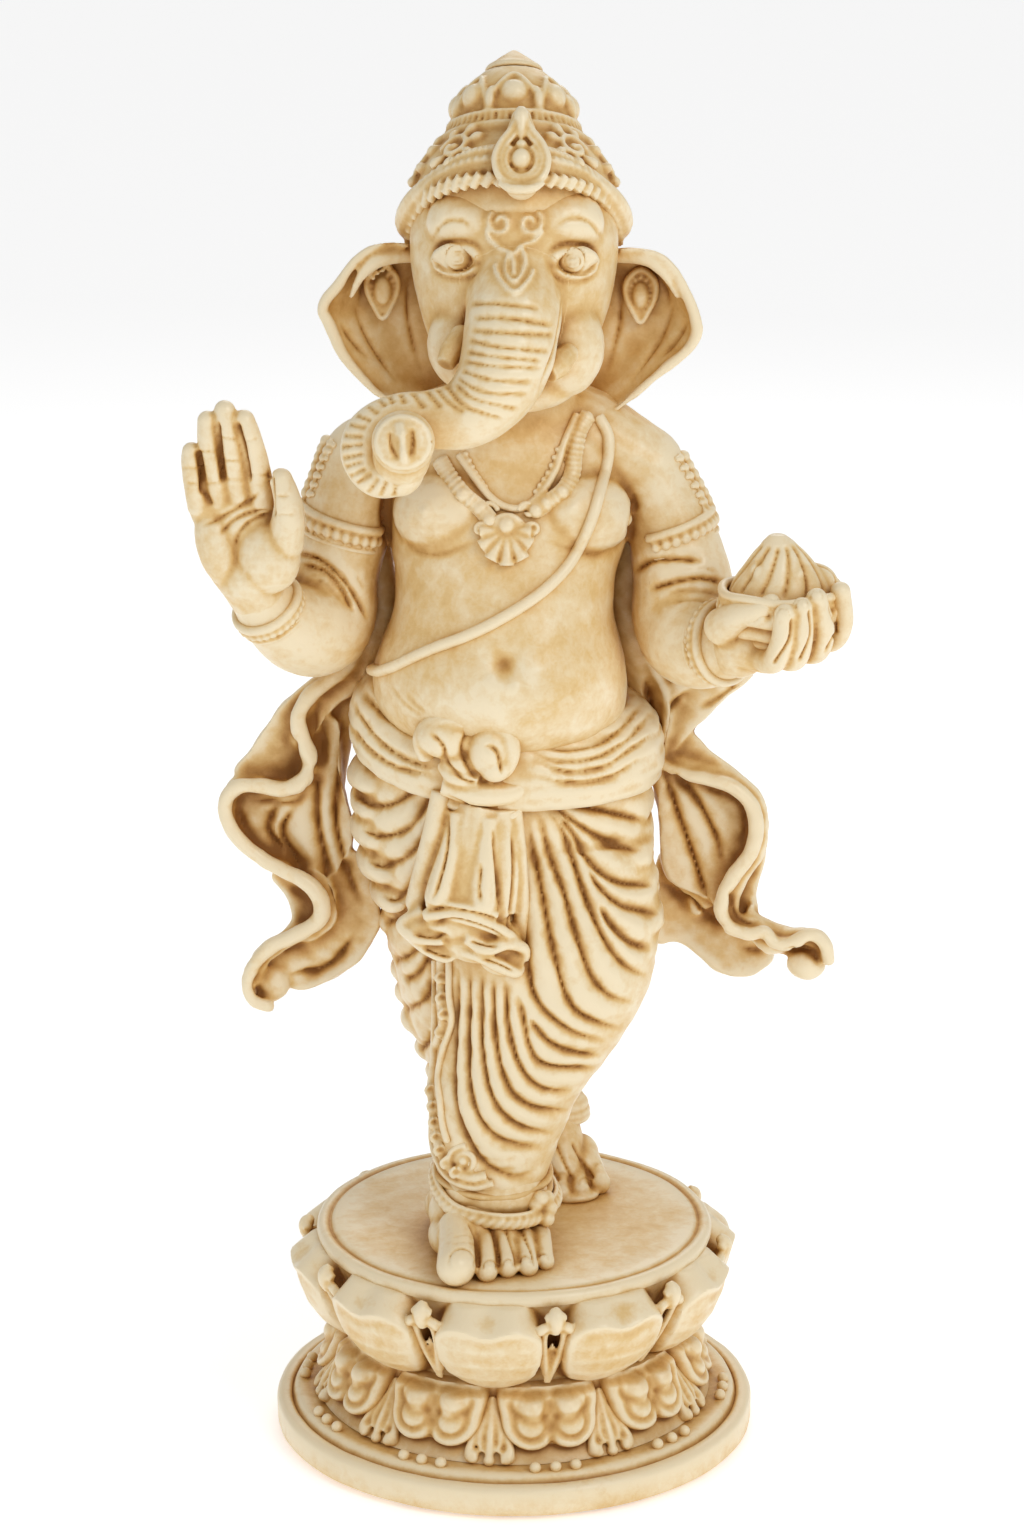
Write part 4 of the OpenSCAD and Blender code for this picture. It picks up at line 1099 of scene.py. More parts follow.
# %% torso and arms as one clay
SHOULDER_SEAM = 56
RIGHT_ARM = [(-62, -3, 434, 18), (-69, -4, 411, 19), (-75, -7, 388, 19), (-79, -12, 368, 21),
             (-88, -24, 368, 20), (-98, -36, 376, 15), (-104, -42, 386, 12.5)]
LEFT_ARM = [(52, -3, 431, 18), (63.5, -5, 410, 18), (69.5, -9, 388, 20.5), (72, -16, 368, 22.5),
            (78, -30, 364, 21), (86, -42, 366, 16), (92, -50, 368, 13)]
torso = clay(
    "torso_carved", 1.12, 5,
    body_form([[314, -5, -4, 38, 32], [321, -5, -8, 48, 44], [332, -5.5, -12, 52.5, 50],
               [345, -6, -14, 53, 53], [358, -5.5, -14, 50.5, 51.5], [372, -4.5, -13, 46, 47],
               [388, -3.5, -11, 46, 43], [400, -2.5, -9, 48.5, 41], [414, -1.5, -7, 51, 39],
               [430, -1, -4, 52, 34], [444, 0, -3, 47, 30], [454, 0, -3, 36, 26], [467, 0, -6, 25, 23]]),
    ball(-26, -25, 417, 21, (1.15, 0.9, 0.9)), ball(25, -25, 416, 21, (1.15, 0.9, 0.9)),
    limb([(0, -1, 446, 26), (26, -2, 444, 22), (42, -3, 437, 19.5), (53, -3, 431, 18)], 4, 8),
    limb([(0, -1, 446, 26), (-26, -2, 444, 22), (-46, -3, 438, 18.5), (-60, -3, 435, 18)], 4, 8),
    limb(RIGHT_ARM, 6, 10), limb(LEFT_ARM, 6, 10),
    ball(0, -8, 340, 30, (1.5, 1.2, 0.8)))
tree = tree_of(torso)
crease_all(torso, tree, [
    # armpits and the sides of the chest
    [(-53, 422), (-54, 410), (-53, 398), (-51, 388)], [(50, 420), (49, 408), (46, 396), (45, 386)],
    # folds inside the elbows
    [(-92, 394), (-82, 391), (-72, 383), (-65, 373), (-61, 364)],
    [(-90, 389), (-80, 386), (-72, 378), (-67, 368)], [(50, 386), (57, 390), (68, 391), (80, 390)],
    [(56, 378), (66, 381), (78, 383), (89, 381)]], 5, 3.2)
crease_all(torso, tree, [
    [(-84, 383), (-77, 379), (-72, 373)], [(-86, 385), (-78, 383), (-73, 377)],
    [(68, 386), (78, 387), (86, 386)], [(64, 376), (74, 378), (86, 376)], [(66, 372), (74, 374), (84, 372)],
    [(-66, 384), (-63, 378)]], 2.6, 1.0)
crease_all(torso, tree, [
    [(-47, 402), (-42, 395), (-32, 393), (-20, 397), (-10, 400)],
    [(10, 400), (22, 396), (34, 393), (45, 397)]], 7, 1.3, 0.35)
crease_all(torso, tree, [
    [(-52, 336), (-46, 328), (-38, 322)], [(-46, 333), (-41, 327), (-37, 324)]], 2.4, 0.7)
for x, z in ((-37, 412), (24, 413)):
    spot = front(tree, [(x, z), (x, z - 1)], 0)[0]
    bump(torso, *spot, 5, 0.9)
    bump(torso, *spot, 1.8, 1.3)
navel = front(tree, [(-4, 346), (-4, 345)], 0)[0]
bump(torso, *navel, 9, -1.8, (1, 1, 1.2))
bump(torso, *navel, 3.6, -2.6, (1.2, 1, 1.2))
crease(torso, [front(tree, [(-8, 353), (-6, 348), (-3, 344), (0, 342)])], 4, 1.6)
ridge(torso, front(tree, [(-12, 341), (-9, 337), (-3, 335), (3, 337)]), 3, 0.8)
crease(torso, [behind(tree, line, 5, (0, -1, 0)) for line in [
    [(0, 90, 452), (-1, 90, 420), (-1, 90, 390), (-3, 90, 360), (-3, 90, 336)],
    [(-14, 90, 436), (-26, 90, 428), (-36, 90, 412)], [(14, 90, 436), (26, 90, 428), (36, 90, 412)]]], 9,
       1.8, 0.4)
roughen(torso, 26, 0.16, 4.0)
recess(torso)
right_arm = part_off(torso, (-SHOULDER_SEAM, 0, 400), (-1, 0, 0), "right_arm_carved")
left_arm = part_off(torso, (SHOULDER_SEAM, 0, 400), (1, 0, 0), "left_arm_carved")
finish_piece(torso, FIGURE_RESIN, "torso")
finish_piece(right_arm, FIGURE_RESIN, "right_arm")
finish_piece(left_arm, FIGURE_RESIN, "left_arm")
body_tree = tree_of(torso)

# %% [markdown]
# ## Thread, necklace and pendant
# These lie on the chest. Each line is drawn as the front view shows it and laid on the torso, then
# built up from cords, short ribs and beads, and fused into one casting.

# %% sacred thread
def laid(tree, line, lift=0.0, per=6):
    """Front-view line on a form, lifted towards the camera."""
    points = front(tree, line, per)
    points[:, 1] -= lift
    return points


THREAD = [(35, 452), (39, 444), (39, 434), (36, 421), (33, 410), (29, 400), (23, 389), (15, 380),
                               (5, 372), (-8, 364), (-20, 358), (-33, 353), (-44, 348), (-50, 345),
          (-54, 343.5), (-57, 342.5)]
path = laid(body_tree, THREAD, 0.6)
round_side = path[-1] + np.array([(-2, 5, -1), (-3.4, 12, -2.5), (-2.6, 20, -4)])
thread = clay("thread", 0.7, 1, cord(np.vstack([path, round_side]), 2.5, 5))
finish_piece(thread, FIGURE_RESIN, "sacred_thread")

# %% necklace
OUTER = [(31, 453), (27, 446), (25, 436), (24, 427), (20, 420), (13, 415), (9, 412)]
OUTER_LEFT = [(-31, 434), (-27, 427), (-21, 419), (-14, 413), (-10, 408)]
INNER = [(26, 453), (21, 441), (17, 429), (11, 419), (4, 413.5), (-3, 413.5), (-10, 418), (-17, 427),
         (-23, 436)]
LACE = [[(18, 438), (14, 428), (9, 420)], [(-20, 436), (-16, 428), (-12, 422)]]
jewels = [cord(laid(body_tree, INNER, 0.8), 1.7)]
for line, r in ((OUTER, 3.4), (OUTER_LEFT, 3.4)):
    path = laid(body_tree, line, 0.6, 8)
    jewels.append(cord(path, 2.4))
    for k in range(1, len(path) - 1, 2):
        side = np.cross(path[k + 1] - path[k - 1], (0, -1, 0))
        side = side / np.linalg.norm(side) * r
        jewels.append(rod([(*(path[k] - side), 1.0), (*(path[k] + (0, -1.6, 0)), 1.5),
                           (*(path[k] + side), 1.0)]))
for line in LACE:
    path = laid(body_tree, line, 0.4, 3)
    jewels += [ball(*p, 1.3, segments=12) for p in path]
for line in (OUTER, OUTER_LEFT):
    end = laid(body_tree, line[-3:], 1.2, 1)
    jewels += [ball(*p, 3.2, segments=16) for p in end]
necklace = clay("necklace_carved", 0.6, 0, jewels)
finish_piece(necklace, BASE_RESIN, "necklace")

# %% pendant
fan = []
for degrees, r in ((-84, 11), (-56, 13), (-28, 14.5), (0, 15.5), (28, 14.5), (58, 12), (84, 10)):
    t = math.radians(degrees)
    a, b = (-3 + 3 * math.sin(t), 404 - 3 * math.cos(t)), (-3 + r * math.sin(t), 404 - r * math.cos(t))
    path = laid(body_tree, [a, b], 1.2, 4)
    fan.append(cord(path, np.linspace(1.4, 3.2, len(path))))
for x, z, r, s in ((-11, 412, 4.4, 1), (-14, 404, 3.6, 1), (6, 412, 4.4, -1), (8, 404, 3.6, -1)):
    curl = []
    for k in range(14):
        reach = (r - 0.16 * k) * (1 - k / 22)
        curl.append((x + s * reach * math.cos(k / 2.2), z + reach * math.sin(k / 2.2)))
    fan.append(cord(laid(body_tree, curl, 1.6, 2), 1.2))
boss = laid(body_tree, [(-3, 406), (-3, 405)], 1.5, 0)[0]
fan += [ball(*boss, 4.0, segments=20), ball(boss[0], boss[1] + 0.5, boss[2] - 2, 8, (1, 0.35, 0.9),
                                            segments=20)]
pendant = clay("pendant_carved", 0.6, 1, fan)
finish_piece(pendant, BASE_RESIN, "necklace_pendant")

# %% [markdown]
# ## Armlets and bracelets
# A plain cord and a row of square beads go round each arm, and the armlets rise to a crest of leaves.
# Rays thrown inwards find the arm's surface, so a band fits whatever the arm's shape is there.

# %% band tools
def ring_round(tree, middle, way, count, reach=60):
    """Points round a limb: rays thrown inwards in the plane square to an axis."""
    way = Vector(way).normalized()
    side = way.cross(Vector((0, 1, 0))).normalized()
    up = side.cross(way)
    out = []
    for k in range(count):
        t = 2 * math.pi * k / count
        ray = side * math.cos(t) + up * math.sin(t)
        hit = tree.ray_cast((Vector(middle) + ray * reach) * MM, -ray)[0]
        out.append(np.array(hit) / MM)
    return np.array(out)


def banded(tree, middle, way, shift, r, bead, step=3, reach=34):
    """A plain cord with a row of square beads beside it, round a limb."""
    line = ring_round(tree, middle, way, 60, reach)
    outward = line - np.array(middle)
    outward = outward / np.linalg.norm(outward, axis=1)[:, None]
    along = np.array(Vector(way).normalized())
    parts = [cord(line + outward * 0.5, r, 4, True),
             cord(line + along * shift * 2.1 + outward * 0.3, r * 0.6, 3, True)]
    low = line + along * shift + outward * 0.6
    for k in range(0, 60, step):
        parts.append(ball(*low[k], bead, (1, 1, 1.15), segments=12))
    return parts


# %% armlets and bracelets
arm_tree = {"right": tree_of(right_arm), "left": tree_of(left_arm)}
for side, middle, way, crest in (
        ("right", (-70, -4.5, 411), (-0.28, 0.02, -1), [(-88, 420), (-86, 428), (-82, 435), (-77, 441)]),
        ("left", (67.5, -4.5, 409), (0.34, 0, -1), [(82, 413), (80, 420), (76, 428), (71, 435)])):
    parts = banded(arm_tree[side], middle, way, 4.2, 2.0, 2.4, 2)
    for x, z in smooth_path(crest, 2):
        for depth, r in ((-4, 2.8), (-11, 1.9), (-15, 1.3)):
            spot = arm_tree[side].find_nearest(Vector(seen(x, z, depth)) * MM)[0]
            parts.append(ball(*(spot / MM), r, (1, 1.3, 1), segments=14))
    armlet = clay(side + "_armlet_carved", 0.7, 0, parts)
    finish_piece(armlet, BASE_RESIN, side + "_armlet")
for side, middle, way in (("right", (-101.5, -39, 381.5), (-0.42, -0.46, 0.8)),
                          ("left", (86, -42, 366), (0.68, -0.7, 0.2))):
    parts = banded(arm_tree[side], middle, way, -3.4, 2.1, 1.9, 2, 30)
    bracelet = clay(side + "_bracelet_carved", 0.7, 0, parts)
    finish_piece(bracelet, BASE_RESIN, side + "_bracelet")

# %% [markdown]
# ## Hands, dish and sweet
# The right palm is raised in blessing, and the left hand holds a dish with a pleated sweet. Fingers
# are tapered rods with ball tips, pushed into flattened balls for the palm, like clay sausages.

# %% raised right hand
FINGERS = [
    # (x, z, depth, radius) from root to tip
    [(-131, 414, -52, 5.2), (-133, 424, -54, 4.6), (-134, 432, -55, 4.2), (-134, 437, -55, 4.0)],
    [(-123, 416, -52, 5.4), (-125, 430, -55, 4.7), (-127, 442, -57, 4.4), (-127, 450, -57, 4.2)],
    [(-115, 418, -52, 5.6), (-117, 434, -56, 5.0), (-119, 446, -58, 4.8), (-120, 454, -58, 4.5)],
    [(-105, 416, -52, 5.8), (-107, 432, -56, 5.2), (-110, 444, -58, 4.8), (-112, 450, -58, 4.6)],
    [(-96, 398, -54, 8), (-94, 410, -59, 6.6), (-95, 418, -61, 5.6), (-97, 425, -61, 4.8)]]
palm = clay(
    "right_hand_carved", 0.7, 3,
    [limb([seen(*stop) for stop in finger], 6, 6) for finger in FINGERS],
    lump(-114, 404, -49, 20, (0.92, 0.42, 1.0), (0, 6, 0)), lump(-111, 392, -48, 17, (1.05, 0.55, 1.1)),
    lump(-103, 392, -53, 13.5, (1, 0.75, 1.15)), lump(-124, 396, -52, 10, (0.85, 0.8, 1.7), (0, -16, 0)),
    lump(-128, 413, -51, 8, (0.9, 0.7, 1.2)), lump(-117, 413, -52, 9, (1.7, 0.55, 0.8), (0, 8, 0)),
    limb([(-105, -43, 388, 12.5), (-108, -47, 396, 13.5)], 4, 8))
tree = tree_of(palm)
crease_all(palm, tree, [
    [(-130, 419), (-130, 428), (-131, 438)], [(-121, 423), (-122, 436), (-123, 450)],
    [(-110, 424), (-112, 438), (-115, 450)], [(-100, 409), (-100.5, 418), (-101, 428)]], 3, 3.2, 0.1)
crease_all(palm, tree, [
    [(-131, 405), (-122, 409), (-112, 415), (-105, 420)],
    [(-123, 401), (-118, 407), (-110, 411), (-101, 412)],
    [(-117, 395), (-115, 402), (-109, 408), (-101, 411)], [(-130, 421), (-128, 418), (-126, 414)]], 2.8,
           1.5)
crease_all(palm, tree, [
    [(-138, 430), (-131, 430)], [(-138, 424), (-131, 423)], [(-131, 437), (-123, 437)],
    [(-129, 423), (-121, 424)], [(-121, 433), (-112, 433)], [(-122, 443), (-114, 442)],
    [(-121, 425), (-112, 425)], [(-112, 441), (-104, 443)], [(-110, 427), (-102, 427)],
    [(-100, 418), (-93, 418)], [(-99, 410), (-91, 410)]], 1.6, 0.6)
roughen(palm, 14, 0.1, 5.0)
finish_piece(palm, FIGURE_RESIN, "right_hand")

# %% left hand
CURLED = [
    [(101, 352, -58, 6.5), (109, 347, -70, 5.4), (113, 355, -80, 5.0), (114, 367, -82, 4.6)],
    [(110, 352, -56, 6.5), (118, 348, -70, 5.2), (121, 357, -79, 4.8), (121, 370, -80, 4.4)],
    [(118, 354, -54, 6.2), (127, 351, -66, 5.0), (130, 360, -74, 4.8), (127, 374, -76, 4.4)],
    [(124, 358, -48, 6), (134, 356, -58, 4.8), (138, 364, -64, 4.6), (137, 377, -66, 4.2)]]
cupped = clay(
    "left_hand_carved", 0.7, 3,
    [limb([seen(*stop) for stop in finger], 6, 6) for finger in CURLED],
    limb([(92, -50, 366, 12.5), seen(97, 355, -56, 11.5), seen(106, 351, -58, 9)], 6, 8),
    lump(108, 354, -54, 13, (1.4, 1.1, 0.65)), lump(121, 358, -50, 11, (1.1, 1.1, 0.6)),
    limb([seen(88, 362, -60, 8), seen(95, 367, -70, 6), seen(103, 369, -76, 4.6), seen(108, 372, -76, 4)],
         6, 6))
tree = tree_of(cupped)
crease_all(cupped, tree, [
    [(109, 345), (116, 356), (117, 366)], [(120, 346), (125, 358), (124, 370)],
    [(131, 350), (135, 360), (132, 372)]],
       2.6, 2.4, 0.1)
crease(cupped, [nail(tree, x, z, 2.6) for x, z in ((113, 367), (121, 371), (127, 375))], 1.0, 0.6, 0.05)
finish_piece(cupped, FIGURE_RESIN, "left_hand")

# %% dish and sweet
DISH = (108, -56)
bowl = []
for z, r, w in ((392, 23.5, 2.0), (389, 23.5, 1.6), (384, 22, 3.5), (378, 17, 4.5), (373, 11, 5),
                (371, 4, 5), (384, 12, 6), (386, 19, 3)):
    bowl.append(rod([(DISH[0] + r * math.cos(t), DISH[1] + r * math.sin(t), z + 0.5 * math.sin(5 * t), w)
                     for t in np.linspace(0, 2 * math.pi, 24, endpoint=False)], None, 3, 5, True))
for k in range(26):
    t = 2 * math.pi * k / 26
    bowl.append(ball(DISH[0] + 23.5 * math.cos(t), DISH[1] + 23.5 * math.sin(t), 385.5, 2.7, segments=14))
dish = clay("dish_carved", 0.75, 1, bowl)
finish_piece(dish, BASE_RESIN, "modak_dish")
sweet = clay("modak_carved", 0.8, 2, body_form([[386, 108, -56, 19, 18], [390, 108, -56, 21, 19],
                                                [396, 108, -56, 19, 17.5], [402, 108, -56, 15, 14],
                                                [408, 107.5, -56, 10.5, 10], [412, 107, -56, 6.5, 6],
                                                [415, 106.5, -56, 3, 3]]),
             ball(121, -52, 394, 9, (1.2, 1, 0.9)), ball(129, -50, 391, 5), ball(96, -66, 392, 4),
             ball(91, -60, 391, 3.6), ball(113, -66, 396, 6, (0.8, 0.8, 1.4), (0, 20, 0)),
             ball(100, -64, 397, 6, (0.8, 0.8, 1.4), (0, -20, 0)))
tree = tree_of(sweet)
pleats = [around(tree, DISH, [(a, 392), (a + 8, 400), (a + 14, 407), (a + 18, 412)]) for a in range(0, 360,
                                                                                                    30)]
crease(sweet, pleats, 4, 1.6, 0.1)
finish_piece(sweet, BASE_RESIN, "modak")

# %% [markdown]
# ## Head
# Head and trunk are one clay form, parted along the crease where the trunk leaves the face. Each ear
# is its own casting, set against the head.

# %% head and trunk as one clay
TRUNK = [(0, 513, -36, 21), (0, 504, -44, 20), (0, 496, -53, 19.4), (-1, 488, -59, 19.2),
         (-3, 476, -65, 18.6), (-9, 463, -70, 16.8), (-20, 453, -74, 14.2), (-34, 450.5, -77, 12),
         (-48, 449.5, -79, 11.4), (-58, 444.5, -80, 11), (-61.5, 436, -81, 10.4),
         (-56, 428, -83, 10), (-48, 429, -86, 10.5)]
trunk_line = [seen(*stop) for stop in TRUNK]
disc_end = [seen(-47, 434, -88, 11.5), seen(-46, 440, -93, 12.3), seen(-46, 441, -98, 12.6)]
head = clay(
    "head_carved", 0.95, 8,
    body_form([[462, 0, -11, 20, 22], [468, 0, -13, 26, 30], [482, -0.5, -15, 32, 37],
               [498, 0, -14, 38, 39.5], [514, 0, -13, 41.5, 40.5], [530, 0, -12, 42.5, 40.5],
               [544, 0, -10, 40, 38.5], [556, 0, -8, 34, 33], [566, 0, -6, 24, 24]]),
    ball(-18, -35, 489, 16.5, (1.05, 0.9, 1.2)), ball(19, -35, 488, 17, (1.05, 0.9, 1.25)),
    ball(-15, -34, 538, 17, (1.2, 0.9, 0.9)), ball(16, -34, 538, 17, (1.2, 0.9, 0.9)),
    ball(0, -33, 528, 19, (1, 1, 1)), ball(0, -36, 472, 15, (1.7, 0.8, 0.75)),
    rod(trunk_line, None, 6, 8), ball(*trunk_line[0]), ball(*trunk_line[-1]))
tree = tree_of(head)

# %% eye sockets, eyeballs and lids
EYES = ((-23, 517.5), (24, 516.5))
spots = [front(tree, [(x, z), (x, z + 1)], 0)[0] for x, z in EYES]
for x, y, z in spots:
    bump(head, x, y, z, 9, -3.0, (1.15, 1, 0.95))
balls = [ball(x * 0.99, y + 6.2, z, 7.2, (1.2, 1, 0.85), segments=32) for x, y, z in spots]
head = clay("head_carved", 0.88, 1, head, balls)
tree = tree_of(head)
for (x, z), way in zip(EYES, (-1, 1)):
    for r, depth in ((1.6, 0.8), (3.2, 0.9), (5.0, 1.1)):
        ring = [(x + r * 1.05 * math.cos(t), z + r * math.sin(t)) for t in np.radians(range(0, 361, 20))]
        crease(head, [front(tree, ring, 4)], 1.5, depth, 0.001)
    lid = [(x - 9.6 + way, z - 2), (x - 7, z + 2.6), (x, z + 5.2), (x + 7, z + 2.8), (x + 9.6 + way, z - 2)]
    ridge(head, front(tree, lid), 2.0, 2.2, 0.1)
    crease(head, [front(tree, [(a + (a - x) * 0.14, b + 2.6) for a, b in lid])], 2.2, 1.3)
    low = [(x - 9.4 + way, z - 2), (x - 5, z - 5.4), (x, z - 6.4), (x + 5.4, z - 5.4),
           (x + 9.4 + way, z - 2)]
    ridge(head, front(tree, low), 1.4, 1.6, 0.15)
    crease(head, [front(tree, [(a + (a - x) * 0.1, b - 1.8) for a, b in low])], 2, 0.8)
crease_all(head, tree, [
    [(-34, 524), (-31, 530), (-26, 533.5), (-20, 532.5), (-15, 528)],
    [(15, 528), (20, 533), (26, 534.5), (32, 532), (37, 524)]],
       3.4, 1.3, 0.3)

# %% forehead mark: two scrolls, their stems, and a drop
mark = []
for x, way in ((-5.5, 1), (6.5, -1)):
    scroll = []
    for k in range(20):
        t = 0.42 * k + 2.0
        scroll.append((x + way * (5.4 - 0.24 * k) * math.cos(t), 532.5 + (5.8 - 0.25 * k) * math.sin(t)))
    mark.append(scroll)
mark += [[(-11, 531), (-10, 526), (-6, 522), (-1, 519), (0, 510)],
         [(12, 530), (8, 525), (3, 523), (0, 519)],
         [(2, 524), (4.5, 517), (3, 511), (0, 508), (-3, 511), (-3, 516), (-1, 521)],
         [(-8, 516), (-6, 510), (0, 503.5), (6, 509), (8, 514)]]
for line in mark:
    ridge(head, front(tree, line, 3), 1.05, 1.3, 0.06)

# %% wrinkles across the trunk
WRINKLES = [
    [(-18, 499), (-6, 499), (11, 497)], [(-17, 493), (-2, 493), (16, 490)],
    [(-18, 488), (-5, 487), (17, 486)], [(-19, 484), (-6, 481), (15, 479)],
    [(-20, 479), (-8, 477), (12, 475)], [(-21, 475), (-8, 473), (12, 472)],
    [(-22, 471), (-8, 467), (8, 466)], [(-24, 468), (-12, 462), (6, 461)],
    [(-25, 466), (-16, 459), (2, 454.5)], [(-28, 465), (-20, 456), (-4, 450.5)],
    [(-32, 464), (-27, 458), (-20, 453)], [(-36, 463), (-33, 459), (-30, 455)],
    [(-42, 462), (-39, 458), (-37, 455)], [(-47, 461.5), (-45, 457)], [(-52, 461.5), (-50, 457)],
    [(-57, 460), (-53, 456)], [(-62, 457), (-56, 453)], [(-67, 453), (-59, 450)], [(-70, 449), (-61, 447)],
    [(-72, 444), (-62, 443)], [(-72, 439), (-62, 440)], [(-72, 434), (-62, 436)], [(-71, 430), (-62, 433)],
    [(-69, 426), (-61, 430)], [(-66, 423), (-59, 428)], [(-61, 419), (-56, 426)], [(-56, 417), (-53, 425)],
    [(-50, 417), (-49, 424)]]
crease(head, [front(tree, line, 18) for line in WRINKLES], 3.4, 1.3, 0.1)
crease_all(head, tree, [
    [(20, 503), (19, 492), (17, 480), (13, 470), (10, 462)],
    [(-20, 500), (-21, 492), (-22, 482), (-25, 472)]], 5, 2.4, 0.3)
roughen(head, 22, 0.12, 6.0)
recess(head)

# %% part the trunk from the head
# the cutter is the trunk's own rod, a little thicker, and much thicker from the curl on
sleeve = []
for k, (x, y, z, r) in enumerate(trunk_line[1:]):
    sleeve.append((x, y + 2 * (k < 3), z + 3 * (k < 2), r + 2.2 + 6 * (k > 6)))
cutter = join("cutter", rod(sleeve, None, 6, 12), ball(*trunk_line[-1][:3], 17))
trunk = twin(head, "trunk_carved")
apply_modifier(cutter, "REMESH", mode="VOXEL", voxel_size=1.5 * MM)
apply_modifier(trunk, "BOOLEAN", operation="INTERSECT", object=cutter, solver="EXACT")
apply_modifier(head, "BOOLEAN", operation="DIFFERENCE", object=cutter, solver="EXACT")
bpy.data.objects.remove(cutter)
tip = clay("tip", 0.7, 2, limb(disc_end, 5, 10))
tip_tree = tree_of(tip)
for x, z, r, h in ((-46, 441, 9.5, -3.4), (-46, 438, 5, -1.2)):
    bump(tip, *front(tip_tree, [(x, z), (x, z - 1)], 0)[0], r, h)
tip_tree = tree_of(tip)
ridge(tip, front(tip_tree, [(-48, 450), (-46.5, 444), (-46, 438), (-45, 431)]), 2.0, 3.0, 0.3)
crease_all(tip, tip_tree, [[(-52, 446), (-51, 439), (-48, 433)], [(-42, 447), (-42, 440), (-43, 434)]], 3.4,
           1.6)
rim = [(-46 + 11 * math.cos(t), 441 + 10.6 * math.sin(t)) for t in np.radians(range(0, 361, 20))]
ridge(tip, front(tip_tree, rim, 2), 1.5, 0.9, 0.001)
recess(tip)
trunk = join("trunk_carved", trunk, tip)
finish_piece(head, FIGURE_RESIN, "head")
finish_piece(trunk, FIGURE_RESIN, "trunk")

# %% [markdown]
# ## Tusks
# Two short tusks come out of the cheeks. They are stumps with blunt ends, a little browner than the
# rest, since the wash gathers round them.

# %% tusks
for side, a, b, r in (("right", (-22, 486, -54), (-28.5, 473.5, -63), 4.6),
                      ("left", (22, 478, -52), (14, 469.5, -63), 5)):
    middle = tuple((p + q) / 2 for p, q in zip(a, b))
    tusk = clay(side + "_tusk_carved", 0.6, 2, rod([seen(*a, r * 0.9), seen(*middle, r * 1.1),
                                                    seen(*b, r * 0.82)]),
                lump(*a, r * 0.9), lump(*middle, r * 1.1))
    finish_piece(tusk, DEEP_RESIN, side + "_tusk", slot="tusk_brown")

# %% [markdown]
# ## Ears and earrings
# An ear is a thin sheet between its root and its outline, deeper in the middle, with a rolled rim and
# a fold at the top. The earring is a drop-shaped frame laid into it.

# %% ears
EARS = {
    "right": ([(-34, 521), (-33, 508), (-31, 494), (-28, 480), (-24, 466)],
              [(-44, 524), (-56, 524), (-66, 518), (-74, 507), (-80, 499), (-77, 491), (-72, 479),
               (-64, 469), (-55, 461), (-42, 456)]),
    "left": ([(34, 520), (33, 508), (31, 494), (28, 480), (24, 466)],
             [(44, 522), (54, 521.5), (63, 518), (70, 508), (75, 497), (76.5, 488), (72, 480), (61, 471),
              (50, 461), (41, 454)])}
DROP = [(0, 10.5), (5.6, 6), (6, 0), (3.4, -6), (0, -11), (-3.4, -6), (-6, 0), (-5.6, 6)]
STONES = {"right": (-54, 505), "left": (52, 503)}


def along(path, share):
    """Point at a share of the way along a path."""
    return np.array([np.interp(share * (len(path) - 1), range(len(path)), path[:, i]) for i in (0, 1)])


